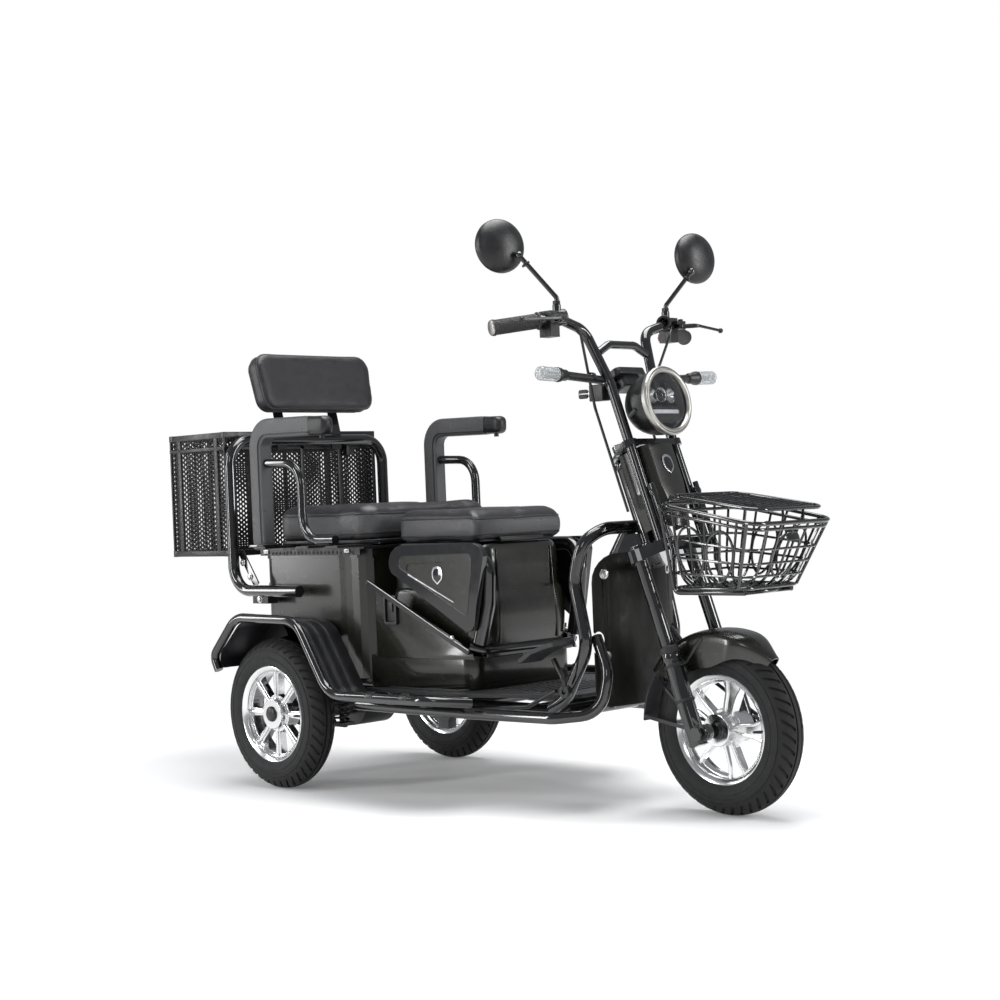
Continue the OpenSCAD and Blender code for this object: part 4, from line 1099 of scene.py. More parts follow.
def armrests():
    """Padded posts that bend forward into arms, each with an end cap, seams and a foot plate."""
    low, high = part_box("armrest_left")
    y = (low.y + high.y) / 2
    for word, side in SIDES:
        path = rounded_path([(POST_X, side * y, 0.584), (POST_X, side * y, 0.866),
                             (-0.262, side * y, 0.8625)], 0.046, steps=14)
        pad = Piece()
        dense = []
        for a, b in zip(path, path[1:]):
            steps = max(int((b - a).length / 0.012), 1)
            dense += [a.lerp(b, k / steps) for k in range(steps)]
        dense.append(path[-1])
        fat = lambda t: 1.0 - 0.06 * math.exp(-t / 0.01) - 0.05 * math.exp(-(1 - t) / 0.01)
        pad.sweep(dense, soft_rectangle(0.0238, 0.0185, 6.5, 40), up=(0, 1, 0), size=fat)
        obj = pad.make(f"armrest_{word}_pad", "root", GREY_LEATHER_AND_PAINTED_SHEEN, "armrest_" + word, sharp=50,
                       stands_for="armrest_" + word)
        cap = Piece()
        tip = [Vector((-0.261 + 0.057 * k / 8, side * y, 0.8625 - 0.0015 * k / 8)) for k in range(9)]
        cap.sweep(tip, soft_rectangle(0.0225, 0.0185, 3.2), up=(0, 1, 0),
                  size=lambda t: math.sqrt(max(1 - max(t - 0.72, 0) ** 2 / 0.1, 0.15)))
        cap.tube([(-0.232, side * y, 0.846), (-0.232, side * y, 0.832)], 0.006)
        cap.make(f"armrest_{word}_end", "root", PLASTIC, "armrest_" + word, sharp=50)
        trim = Piece()
        for edge in (-1, 1):
            line = [p + Vector((0, edge * 0.0205, 0)) for p in dense]
            shifted = []
            for i, p in enumerate(line):
                along = (line[min(i + 1, len(line) - 1)] - line[max(i - 1, 0)]).normalized()
                shifted.append(p + along.cross(Vector((0, 1, 0))) * -0.0150)
            trim.sweep(shifted, circle(0.0013, 8))
        trim.make(f"armrest_{word}_seams", "root", LEATHER, "armrest_" + word)
        foot = Piece()
        foot.slab(rounded_outline(0.030, 0.027, 0.006), 0.006, Matrix.Translation((POST_X, side * y, 0.5805)))
        foot.make(f"armrest_{word}_foot", "root", BLACK_GLOSS, "armrest_" + word, bevel=0.001)


# ---------------------------------------------------------------- handlebar parts

CLAMP = Vector((0.432, 0.178, 1.050))
GRIP_END = Vector((0.374, 0.312, 1.030))
GRIP_LENGTH = 0.112
BAR_WAY = (GRIP_END - CLAMP).normalized()
GRIP_AT = (GRIP_END - CLAMP).length - GRIP_LENGTH + 0.007
POD = CLAMP + BAR_WAY * (GRIP_AT - 0.024)


def mirrored(p, side):
    """The point itself for side 1, and its mirror image across the middle for side -1."""
    return Vector((p.x, side * p.y, p.z))


def on_bar(side, along):
    """Place on a grip's axis, at a distance from the bend of the bar."""
    return facing(mirrored(CLAMP + BAR_WAY * along, side), mirrored(BAR_WAY, side))


def grips():
    """Diamond-patterned rubber grips with bright end caps."""
    for node, body, side in (("grip_left", "steering", 1), ("throttle_grip", "throttle", -1)):
        place = on_bar(side, GRIP_AT)
        profile = [(BAR_R, 0.0005), (0.0185, 0.0005), (0.019, 0.002), (0.0188, 0.004),
                   (0.0160, 0.0055)]
        profile += [(0.0155, 0.007 + 0.0016 * k) for k in range(58)]
        profile += [(0.0172, 0.1015), (0.0176, 0.105), (0.0168, 0.108), (BAR_R, 0.108)]

        def diamonds(turn, radius, height):
            if not 0.008 < height < 0.098:
                return radius
            wave = math.sin(turn * 12 + height * 520) * math.sin(turn * 12 - height * 520)
            return radius + 0.0009 * smoothstep(-0.2, 0.5, wave)

        piece = Piece()
        piece.lathe(profile, place, 96, diamonds)
        piece.make(node + "_rubber", body, GRIP_RUBBER, node, sharp=50, stands_for=node)
        cap = Piece()
        cap.lathe([(0, 0.112), (0.010, 0.112), (0.0155, 0.1105), (0.017, 0.1075), (0.0165, 0.1045),
                   (0, 0.1045)], place, 40)
        cap.make(node + "_end_cap", body, CHROME, node)


def levers():
    """Tapering brake levers, and their clamps on the bar."""
    for word, side in SIDES:
        body, node = "lever_" + word, "brake_lever_" + word
        blade = [POD + Vector(p)
                 for p in ((0.036, 0.002, -0.004), (0.066, 0.024, -0.004), (0.046, 0.130, -0.010))]
        blade = rounded_path([mirrored(p, side) for p in blade], 0.018)
        piece = Piece()
        piece.sweep(blade, soft_rectangle(0.0030, 0.0052, 3, 16), up=(0, 0, 1),
                    size=lambda t: 1.0 - 0.38 * smoothstep(0.1, 1.0, t))
        piece.ball(blade[-1], 0.0060)
        piece.lathe([(0, 0.0045), (0.0075, 0.0045), (0.0080, 0.0035), (0.0080, -0.0028), (0, -0.0028)],
                    Matrix.Translation(mirrored(POD + Vector((0.036, 0, -0.0044)), side)), 32)
        piece.make(node + "_blade", body, BLACK_SATIN, node, sharp=50, stands_for=node)
        perch = Piece()
        screw = mirrored(POD + Vector((0.036, 0, 0.0081)), side)
        perch.slab(circle(0.0058, 6), 0.0038, Matrix.Translation(screw))
        clamp = on_bar(side, GRIP_AT - 0.052)
        perch.lathe([(0.0112, -0.010), (0.0165, -0.010), (0.0175, -0.008), (0.0175, 0.008), (0.0165, 0.010),
                     (0.0112, 0.010)], clamp, 32)
        perch.make(f"lever_perch_{word}", "steering", BLACK_SATIN, "switch_pods", bevel=0.0006)


def pod_details():
    """Rocker keys, split lines and screws of the switch housings."""
    keys, lines = Piece(), Piece()
    for side in (-1, 1):
        face = mirrored(POD + Vector((-0.0172, 0, 0.0)), side)
        lines.block((face.x + 0.016, face.y - 0.0134, face.z - 0.0375),
                    (face.x + 0.018, face.y + 0.0134, face.z + 0.0172))

        def rear(y, z):
            return facing(face + Vector((0.0004, y, z)), (-1, 0, 0))

        for z in (-0.030, 0.011):
            lines.slab(circle(0.0028, 16), 0.001, rear(0.007 * side, z))
        if side < 0:
            keys.slab(rounded_outline(0.0045, 0.0065, 0.002, 4), 0.0035, rear(0, -0.026))
        keys.slab(rounded_outline(0.0045, 0.0060, 0.002, 4), 0.003, rear(0, -0.0105))
    lines.make("switch_pod_screws", "steering", BLACK_SATIN, "switch_pods", bevel=0.0003)
    keys.make("switch_pod_keys", "steering", GREY_BUTTON, "switch_pods", bevel=0.0006)


MIRRORS = {"right": (Vector((0.339, -0.247, 1.209)), -14), "left": (Vector((0.448, 0.270, 1.202)), -6)}
MIRROR_LEAN = 4
MIRROR_R = 0.058


def mirrors():
    """Round mirror heads on their joints, and the lock nuts of their stems."""
    for word, (spot, yaw) in MIRRORS.items():
        node, body = "mirror_" + word, "mirror_head_" + word
        place = (Matrix.Translation(spot) @ Matrix.Rotation(math.radians(yaw), 4, "Z")
                 @ Matrix.Rotation(math.radians(90 - MIRROR_LEAN), 4, "Y"))
        outer = [(MIRROR_R * math.sin(a), 0.0275 * math.cos(a))
                 for a in (math.radians(7.1 * k) for k in range(13))]
        rim = [(MIRROR_R, 0.0), (0.0578, -0.0040), (0.0565, -0.0078), (0.0545, -0.0090), (0.0535, -0.0078),
               (0.0530, -0.0060), (0, -0.0060)]
        shell = Piece()
        shell.lathe(outer + rim, place, 96)
        shell.make(node + "_shell", body, PLASTIC, node, sharp=50, stands_for=node)
        glass = Piece()
        glass.lathe([(0, -0.0082), (0.030, -0.0078), (0.0528, -0.0066), (0.0528, -0.0058), (0, -0.0058)],
                    place, 96)
        glass.make(node + "_glass", body, MIRROR_GLASS, node)
    neck = Piece()
    for word, side in SIDES:
        joint = pivot(f"mirror_{word}_turn")
        foot = mirrored(CLAMP, side) + Vector((0, 0, 0.0285))
        neck.slab(circle(0.0085, 6), 0.008, Matrix.Translation(foot))
        neck.lathe([(0.006, 0), (0.0095, 0.001), (0.0095, 0.005), (0.006, 0.006)],
                   facing(joint.lerp(foot, 0.16), foot - joint), 24)
    neck.make("mirror_lock_nuts", "steering", BLACK_SATIN, "mirror_stems", bevel=0.0008)


LAMP = Matrix.Translation((0.571, 0, 0.867)) @ Matrix.Rotation(math.radians(81), 4, "Y")


def headlamp():
    """Bowl, chrome rim and glass, with a divided dish, two reflectors, a projector and a light bar."""
    shell = Piece()
    bowl = [(0.069 * math.sin(a) ** 0.82, -0.016 - 0.075 * math.cos(a)) for a in
            (math.radians(9 * k) for k in range(1, 11))]
    shell.lathe([(0, -0.0915)] + bowl + [(0.0695, -0.0045), (0.0640, -0.0045), (0.0600, -0.018),
                                         (0.034, -0.055), (0, -0.058)], LAMP, 72)
    for side in (-1, 1):
        shell.tube([LAMP @ Vector((0.012, side * 0.064, -0.030)), steer(0.108, side * 0.066, 0.128)], 0.006)
    shell.make("headlamp_bowl", "steering", BLACK_SATIN, "headlamp_shell", sharp=50,
               stands_for="headlamp_shell")
    ring = Piece()
    ring.lathe([(0.0650, -0.0039), (0.0735, -0.0039), (0.0750, 0.0010), (0.0748, 0.0060), (0.0730, 0.0095),
                (0.0712, 0.0098), (0.0704, 0.0085), (0.0696, 0.0085), (0.0686, 0.0118), (0.0650, 0.0124),
                (0.0618, 0.0100), (0.0606, 0.0055)], LAMP, 96)
    ring.make("headlamp_rim", "steering", CHROME, "headlamp_ring", sharp=60, stands_for="headlamp_ring")
    glass = Piece()
    glass.lathe([(0, 0.0095), (0.020, 0.0091), (0.042, 0.0076), (0.0625, 0.0045), (0.0625, 0.0022),
                 (0.042, 0.0052), (0.020, 0.0067), (0, 0.0071)], LAMP, 72)
    glass.make("headlamp_glass", "steering", LAMP_GLASS, "headlamp_lens", stands_for="headlamp_lens")
    dish = Piece()
    dish.lathe([(0, -0.030), (0.030, -0.028), (0.052, -0.016), (0.0620, -0.003), (0.0605, -0.003),
                (0.050, -0.019), (0.030, -0.032), (0, -0.034)], LAMP, 72)
    dish.block((0.010, -0.050, -0.027), (0.046, 0.050, -0.008), LAMP)
    for y in (-0.044, -0.018, 0.018, 0.044):
        dish.block((-0.044, y - 0.001, -0.026), (0.010, y + 0.001, -0.010), LAMP)
    dish.make("headlamp_baffles", "steering", PLASTIC, "headlamp_shell", sharp=50)
    bright = Piece()
    for y in (-0.030, 0.030):
        cup = LAMP @ Matrix.Translation((-0.014, y, -0.027))
        bright.lathe([(0.002, 0.001), (0.010, 0.005), (0.0155, 0.017), (0.0145, 0.017), (0.009, 0.006),
                      (0.002, 0.002)], cup, 32)
    bright.lathe([(0.0150, 0.004), (0.0180, 0.004), (0.0180, 0.014), (0.0165, 0.016), (0.0150, 0.014)],
                 LAMP @ Matrix.Translation((-0.016, 0, -0.026)), 40)
    bright.make("headlamp_reflectors", "steering", ALLOY, "headlamp_ring", sharp=60)
    eye = Piece()
    eye.ball(LAMP @ Vector((-0.016, 0, -0.020)), 0.0145, 16)
    eye.make("headlamp_projector", "steering", LAMP_GLASS, "headlamp_lens")
    bar = Piece()
    bar.slab([(x + 0.0215, y) for x, y in rounded_outline(0.0042, 0.043, 0.003, 4)], 0.003,
             LAMP @ Matrix.Translation((0, 0, -0.0078)))
    bar.make("headlamp_light_bar", "steering", WHITE_LED, "headlamp_lens", bevel=0.0006)


def indicators():
    """Stalks with ribbed clear bulbs at their ends."""
    stalks = Piece()
    for word, side in SIDES:
        inner, elbow = Vector((0.466, side * 0.084, 0.918)), Vector((0.470, side * 0.206, 0.926))
        stalks.tube([inner, elbow], 0.0093)
        way = (Vector((0.474, side * 0.284, 0.930)) - Vector((0.471, side * 0.226, 0.928))).normalized()
        root = facing(Vector((0.4705, side * 0.200, 0.9257)), way)
        stalks.lathe([(0, -0.002), (0.0100, -0.002), (0.0120, 0.002), (0.0122, 0.012), (0.0150, 0.020),
                      (0.0158, 0.028), (0.0150, 0.030), (0, 0.030)], root, 40)
        stalks.lathe([(0.0092, -0.090), (0.0112, -0.089), (0.0112, -0.080), (0.0092, -0.079)], root, 32)
        bulb = Piece()
        outline = [(0, 0.0860), (0.009, 0.0855), (0.0135, 0.0830)]
        for k in range(9):
            z = 0.080 - 0.0056 * k
            outline += [(0.0150, z), (0.0138, z - 0.0028)]
        outline += [(0.0140, 0.0305), (0.0120, 0.0305), (0.0120, 0.078), (0.008, 0.081), (0, 0.082)]
        bulb.lathe(outline, root, 48)
        bulb.make(f"indicator_bulb_{word}", "steering", BULB_GLASS, "headlamp_lens", sharp=50)
        core = Piece()
        core.lathe([(0, 0.070), (0.0045, 0.068), (0.0065, 0.060), (0.0065, 0.036), (0.0090, 0.0315),
                    (0, 0.0315)], root, 24)
        core.make(f"indicator_core_{word}", "steering", GREY_BUTTON, "indicators")
    stalks.make("indicator_stalks", "steering", PLASTIC, "indicators", sharp=50, stands_for="indicators")


def front_cover():
    """Faceted cover under the headlamp: its middle field stands out and narrows to the bottom."""
    rings = []
    for i in range(25):
        t = i / 24
        w = -0.122 + 0.1865 * t
        ridge = 0.022 + 0.018 * smoothstep(0.0, 0.55, t)
        tuck = 0.010 * (1 - smoothstep(0.0, 0.25, t))
        half = 0.0560 - 0.006 * (1 - smoothstep(0.0, 0.3, t))
        outer = [(0.036, half), (0.080, half), (0.098 - tuck, ridge + 0.010), (0.1015 - tuck, ridge + 0.004),
                 (0.1085 - tuck, ridge - 0.002), (0.1115 - tuck, ridge * 0.5), (0.1120 - tuck, 0)]
        outer += [(u, -v) for u, v in reversed(outer[:-1])]
        inner = [(u - 0.0035 if abs(v) < half - 0.001 else u, v * 0.94) for u, v in reversed(outer)]
        rings.append([steer(u, v, w + 0.012 * (abs(v) / half) * (1 - t)) for u, v in outer + inner])
    piece = Piece()
    piece.loft(rings)
    piece.make("front_cover_shell", "steering", OLIVE_GLOSS, "front_cover", sharp=22,
               stands_for="front_cover")
    badge(steer(0.1125, 0, 0.012), STEER_AHEAD, STEER_UP, 0.017, "front_cover_badge", "steering")


def badge(spot, ahead, up, size, name, body):
    """Plain shield with a raised rim, with no lettering."""
    outline = (arc(0, 1.0, 0.92, 25, 155, 6) + [(-0.95, 0.55)] + arc(0.35, 0.2, 1.30, 190, 226, 4)
               + [(0, -1.35)] + arc(-0.35, 0.2, 1.30, -46, -10, 4) + [(0.95, 0.55)])
    outline = [(x * size, y * size * 0.8) for x, y in outline]
    place = facing(spot, ahead, up)
    rim = Piece()
    rim.slab(outline, 0.0016, place)
    rim.make(name, body, BADGE_SILVER, "alloy_parts", bevel=0.0005)
    field = Piece()
    field.slab([(x * 0.78, y * 0.78) for x, y in outline], 0.0022, place)
    field.make(name + "_field", body, BLACK_GLOSS, "trim_black", bevel=0.0003)


def display_details():
    """Low instrument housing with its glass, the key's bow and the wrapped wiring below."""
    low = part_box("display")[0]
    tilt = Matrix.Rotation(math.radians(-28), 4, "Y")
    place = Matrix.Translation((low.x + 0.056, 0, low.z + 0.046)) @ tilt
    shell = Piece()
    shell.slab(rounded_outline(0.027, 0.048, 0.013), 0.017, place)
    shell.slab(rounded_outline(0.019, 0.030, 0.008), 0.026, place @ Matrix.Translation((0, 0, -0.024)))
    shell.block((low.x, low.y + 0.001, low.z + 0.002), (low.x + 0.040, low.y + 0.026, low.z + 0.038))
    shell.block((low.x + 0.034, low.y + 0.012, low.z + 0.024), (low.x + 0.060, -0.012, low.z + 0.040))
    shell.make("display_housing", "steering", PLASTIC, "display", bevel=0.0022, stands_for="display")
    glass = Piece()
    glass.slab(rounded_outline(0.021, 0.040, 0.009), 0.0012, place @ Matrix.Translation((0, 0, 0.0171)))
    glass.make("display_glass", "steering", SCREEN, "display", bevel=0.0004)
    fob = Piece()
    top = pivot("key_turn") + Vector((-0.024, 0, 0))
    fob.slab(rounded_outline(0.013, 0.010, 0.005), 0.005,
             facing(top + Vector((-0.002, -0.0025, 0)), (0, 1, 0)))
    fob.make("key_bow", "key", GRIP_RUBBER, "ignition_key", bevel=0.0012)
    wrap = Piece()
    line = [steer(0.030, 0.0, 0.100), steer(-0.002, 0.034, 0.060), steer(-0.026, 0.030, 0.0),
            steer(-0.027, 0.026, -0.130)]
    line = spaced(rounded_path(line, 0.05), 0.002, closed=False)
    wrap.sweep(line, circle(0.0055, 14), size=lambda t: 1.0 + 0.10 * math.sin(t * 196))
    wrap.make("wrapped_wiring", "root", CABLE_RUBBER, "cable_rubber", sharp=60)


# ---------------------------------------------------------------- body details

SIDE_LEAN = math.radians(6.8)
LEAN_PIVOT = Vector((-0.184, 0, 0))


def on_side(x, y, z, side):
    """Point in the leaning frame of the body's side."""
    p = Matrix.Rotation(-SIDE_LEAN, 3, "Z") @ (Vector((x, y, z)) - LEAN_PIVOT) + LEAN_PIVOT
    return Vector((p.x, side * p.y, p.z))


def side_sheet(piece, outer, inner, y0, y1, side):
    """Flat ring between two outlines with as many points, or a full plate without the inner one."""
    def row(points, y):
        return [on_side(x, y, z, side) for x, z in points]

    if inner is None:
        piece.loft([row(outer, y0), row(outer, y1)])
        return
    piece.loft([row(outer, y0), row(outer, y1), row(inner, y1), row(inner, y0)], closed=True)


def triangle_outline(a, b, c, radii):
    return (arc(*a, radii[0], 100, 215, 8) + arc(*b, radii[1], 240, 340, 8) + arc(*c, radii[2], 5, 90, 8))


LATCH_X, LATCH_Z = -0.138, 0.4265


def side_covers():
    """Sunk field, silver line and badge on each side cover, with the latch and bolt beside it."""
    field = triangle_outline((-0.075, 0.534), (0.098, 0.425), (0.108, 0.540), (0.0170, 0.0070, 0.0150))
    recess = triangle_outline((-0.062, 0.524), (0.066, 0.460), (0.076, 0.530), (0.010, 0.006, 0.008))
    for word, side in SIDES:
        panel = Piece()
        side_sheet(panel, field, recess, 0.2211, 0.2216, side)
        side_sheet(panel, [(x * 0.985, 0.0075 + z * 0.985) for x, z in recess], None, 0.2191, 0.2196, side)
        panel.make(f"side_cover_{word}_panel", "root", OLIVE_GLOSS, "side_cover_" + word, sharp=30)
        line = Piece()
        stripe = [(-0.066, 0.5115), (0.066, 0.4475), (0.066, 0.4455), (-0.067, 0.5085)]
        side_sheet(line, stripe, None, 0.2214, 0.2224, side)
        line.make(f"side_cover_{word}_stripe", "root", BADGE_SILVER, "alloy_parts")
        normal = Vector((math.sin(SIDE_LEAN), side * math.cos(SIDE_LEAN), 0))
        badge(on_side(0.020, 0.2198, 0.503, side), normal, (0, 0, 1), 0.016, f"side_badge_{word}", "root")
        latch = Piece()
        edge = rounded_outline(0.0195, 0.0345, 0.006)
        frame_line = [(LATCH_X + x, LATCH_Z + z) for x, z in edge]
        hollow = [(LATCH_X + x * 0.72, LATCH_Z + z * 0.80) for x, z in edge]
        side_sheet(latch, frame_line, hollow, 0.2025, 0.2100, side)
        side_sheet(latch, hollow, None, 0.2025, 0.2050, side)
        side_sheet(latch, [(LATCH_X + x, 0.434 + z) for x, z in rounded_outline(0.007, 0.012, 0.003)], None,
                   0.2045, 0.2085, side)
        latch.make(f"latch_cover_{word}", "root", PLASTIC, "body_trim", bevel=0.0008)
        bolt = Piece()
        spot = on_side(0.052, 0.2165, 0.366, side)
        bolt.lathe([(0, 0.0022), (0.0035, 0.0020), (0.0055, 0.0005), (0.0055, -0.003), (0, -0.003)],
                   facing(spot, normal), 24)
        bolt.make(f"side_bolt_{word}", "root", ZINC, "alloy_parts")


def body_shell():
    """Battery box: a flat lower body with a soft front corner and a rounded tank with a crease."""
    wall = 0.004
    shell = Piece()
    lower = []
    for z in (0.246, 0.250, 0.290, 0.322):
        tuck = 0.002 if z < 0.248 else 0.0
        corner = arc(0.118 - 0.038, 0.1285, 0.038 - tuck, 0, 83, 8)
        side = [(-0.184, 0.203 - tuck)]
        outline = (corner + side + [(-0.184, -0.203 + tuck)] + [(x, -y) for x, y in reversed(corner)]
                   + [(0.1180 - tuck, -0.040)])
        lower.append([Vector((x, y, z)) for x, y in outline])
    shell.loft(lower)
    for side in (-1, 1):
        top = [(-0.186, 0.4860), (0.070, 0.3500), (0.100, 0.3300), (0.106, 0.3160), (-0.186, 0.3160)]
        rows = []
        for depth in (0.2035 - wall, 0.2030, 0.2036):
            rows.append([on_side(x, depth, z, side) for x, z in top])
        shell.loft(rows)
    shell.make("battery_box_lower", "root", OLIVE_GLOSS, "battery_box", bevel=0.0015, sharp=30,
               stands_for="battery_box")
    tank = Piece()
    rings = []
    levels = ((0.328, 0.010), (0.334, 0.003), (0.350, -0.001), (0.385, -0.004), (0.430, -0.004),
              (0.462, -0.001), (0.470, 0.003), (0.474, 0.0055), (0.480, 0.0060), (0.520, 0.0055),
              (0.552, 0.0055), (0.564, 0.008),
              (0.571, 0.012), (0.574, 0.018))
    for z, inset in levels:
        half, front, bend = 0.150 - inset, 0.134 - inset, 0.056
        corner = arc(front - bend, half - bend, bend, 0, 90, 10)
        left = corner + [(-0.150, half)]
        rings.append([Vector((x, y, z)) for x, y in left + [(x, -y) for x, y in reversed(left)]])
    tank.loft(rings)
    tank.make("battery_tank", "root", OLIVE_GLOSS, "battery_box", sharp=24)
    frame_bar = Piece()
    for side in (-1, 1):
        path = [on_side(-0.100, 0.196, 0.562, side), on_side(0.112, 0.196, 0.562, side),
                on_side(0.146, 0.192, 0.520, side), on_side(0.138, 0.188, 0.440, side),
                on_side(0.112, 0.190, 0.352, side)]
        frame_bar.sweep(rounded_path(path, 0.045), soft_rectangle(0.013, 0.017, 2.6, 20))
        crease = [Vector((0.1290, side * 0.088, 0.560)), Vector((0.1325, side * 0.090, 0.470)),
                  Vector((0.1385, side * 0.092, 0.420)), Vector((0.1375, side * 0.094, 0.348))]
        frame_bar.sweep(rounded_path(crease, 0.05), circle(0.0022, 8))
    lip = [Vector((0.112, 0.168, 0.345)), Vector((0.1345, 0.140, 0.334)), Vector((0.1345, -0.140, 0.334)),
           Vector((0.112, -0.168, 0.345))]
    frame_bar.sweep(rounded_path(lip, 0.02), soft_rectangle(0.0105, 0.0085, 3, 20), up=(0, 0, 1))
    frame_bar.make("tank_frame", "root", BLACK_GLOSS, "body_trim", sharp=50)


HOOP_R, LOOP_R, EDGE_R, GUARD_R = 0.014, 0.0125, 0.011, 0.011
EDGE_Y, GUARD_Y = 0.340, 0.286


def bent_tubes():
    """Guard hoop, floor loops, fender edges and seat guards, bent to their full radius."""
    hoop = [(0.340, 0.216), (0.384, 0.240), (0.452, 0.352), (0.421, 0.490), (0.444, 0.572)]
    half = [Vector((x, 0.146, z)) for x, z in hoop] + [Vector((0.462, 0.095, 0.602))]
    full = half + [mirrored(p, -1) for p in reversed(half)]
    piece = Piece()
    piece.tube(full, HOOP_R, bend=0.085, sides=24)
    piece.make("guard_hoop_tube", "root", BLACK_GLOSS, "guard_hoop", stands_for="guard_hoop")
    loops = Piece()
    for side in (-1, 1):
        loop = [(0.452, 0.118, 0.372), (0.500, 0.138, 0.300), (0.486, 0.150, 0.214), (0.400, 0.205, 0.205),
                (0.170, 0.236, 0.207), (-0.200, 0.236, 0.207)]
        loops.tube([Vector((x, side * y, z)) for x, y, z in loop], LOOP_R, bend=0.060, sides=24)
        edge = EDGE_LINE + [(0.160, 0.244)]
        edge = [Vector((x, side * EDGE_Y, z)) for x, z in edge] + [Vector((0.196, side * 0.250, 0.232))]
        loops.tube(edge, EDGE_R, bend=0.075, sides=24)
    loops.make("side_loops", "root", BLACK_GLOSS, "side_tubes", stands_for="side_tubes")
    guards = Piece()
    for side in (-1, 1):
        line = [(-0.449, 0.782), (-0.316, 0.776), (-0.316, 0.594), (-0.198, 0.594)]
        guards.tube([Vector((x, side * GUARD_Y, z)) for x, z in line], GUARD_R, bend=0.058, sides=24)
    guards.make("seat_guard_tubes", "root", BLACK_GLOSS, "seat_guards", stands_for="seat_guards")


EDGE_LINE = [(-0.600, 0.282), (-0.618, 0.316), (-0.522, 0.413), (-0.290, 0.409), (-0.178, 0.240)]
FENDER_LINE = [(-0.604, 0.286), (-0.612, 0.318), (-0.518, 0.405), (-0.292, 0.401), (-0.184, 0.240),
               (-0.150, 0.232), (0.150, 0.236)]


def rear_fenders():
    """Ribbed sheet bent over each rear wheel, with a turned-down inner liner."""
    section = [(0.224, -0.004), (0.224, 0.0)]
    for y in (0.248, 0.277, 0.306):
        section += [(y - 0.002, 0.0), (y, 0.003), (y + 0.012, 0.003), (y + 0.014, 0.0)]
    section += [(0.3285, 0.0), (0.3285, -0.004)]
    flat = [Vector((x, 0, z)) for x, z in FENDER_LINE]
    line = rounded_path(flat, 0.070, steps=12)
    for word, side in SIDES:
        rings = []
        for i, p in enumerate(line):
            along = (line[min(i + 1, len(line) - 1)] - line[max(i - 1, 0)]).normalized()
            out = Vector((-along.z, 0, along.x))
            rings.append([p + out * h + Vector((0, side * y, 0)) for y, h in section])
        piece = Piece()
        piece.loft(rings)
        node = "rear_fender_" + word
        piece.make(node + "_sheet", "root", FENDER_PLASTIC, node, sharp=28, bevel=0.0008, stands_for=node)
        arch = [p for p in line if p.z > 0.262 and p.x < -0.18]
        low = [Vector((-0.250, 0, 0.262)), Vector((-0.300, 0, 0.352)), Vector((-0.400, 0, 0.362)),
               Vector((-0.500, 0, 0.354)), Vector((-0.560, 0, 0.290))]
        low = spaced(low, 0.004, closed=False)
        low = [low[round(k * (len(low) - 1) / (len(arch) - 1))] for k in range(len(arch))]
        liner = Piece()
        near, far = (Vector((0, side * y, 0)) for y in (0.2245, 0.2270))
        fold = Vector((0, 0, -0.004))
        liner.loft([[p + near + fold, q + near, q + far, p + far + fold] for p, q in zip(arch, low)])
        liner.make(node + "_liner", "root", FENDER_PLASTIC, node, sharp=50)


SPRING_AT = middle("shock_springs")
SPRING_LOW, SPRING_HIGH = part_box("shock_springs")
SPRING_WIRE = 0.003
SPRING_TURNS = 5
SPRING_STEPS = 28


def shock_coils():
    """One wound spring on each damper."""
    radius = (SPRING_HIGH.x - SPRING_LOW.x) / 2 - SPRING_WIRE
    bottom = SPRING_LOW.z + SPRING_WIRE
    rise = SPRING_HIGH.z - SPRING_LOW.z - 2 * SPRING_WIRE
    count = SPRING_TURNS * SPRING_STEPS
    for word, side in SIDES:
        y = side * (SPRING_HIGH.y - radius - SPRING_WIRE)
        line = []
        for k in range(count + 1):
            a = 2 * math.pi * k / SPRING_STEPS
            line.append(Vector((SPRING_AT.x + radius * math.cos(a), y + radius * math.sin(a),
                                bottom + rise * k / count)))
        coil = Piece()
        coil.tube(line, SPRING_WIRE, sides=10)
        obj = coil.make(f"shock_spring_{word}", "root", BLACK_SATIN, "shock_springs",
                        stands_for="shock_springs")
        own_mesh(obj)


def hex_bolts():
    """Zinc bolts on the brackets, the shield, the floor board and the seat deck."""
    bolts = Piece()

    def bolt(spot, way, size=0.006):
        place = facing(Vector(spot), way)
        bolts.slab(circle(size, 6), size * 0.75, place)
        bolts.lathe([(0, 0), (size * 1.45, 0), (size * 1.45, 0.0012), (0, 0.0012)], place, 24)

    for side in (-1, 1):
        for z in (0.330, 0.505):
            reach = math.sqrt(0.350 ** 2 - 0.104 ** 2) + 0.134
            bolt((reach - 0.0005, side * 0.104, z), (1, side * 0.31, 0), 0.0075)
        for x in (0.165, 0.255, 0.345):
            bolt((x + 0.003, side * 0.100, 0.2505), (0, 0, 1), 0.0045)
        bolt((-0.618, side * 0.2405, 0.540), (0, side, 0))
        bolt((-0.590, side * 0.2405, 0.505), (0, side, 0))
        bolt((-0.447, side * 0.262, 0.5815), (0, 0, 1))
        bolt((-0.308, side * 0.262, 0.5815), (0, 0, 1))
        bolt((-0.535, side * 0.2545, 0.451), (0, side, 0), 0.007)
        bolt((-0.6385, side * 0.090, 0.835), (1, 0, 0.1))
        bolt((-0.652, side * 0.090, 0.902), (1, 0, 0.2))
        for x in (-0.520, -0.300):
            bolt((x, side * 0.2850, 0.4165 if x < -0.4 else 0.4125), (0, 0, 1), 0.0045)
    bolts.make("frame_bolts", "root", ZINC, "alloy_parts", bevel=0.0005)


ROD_R = 0.0045


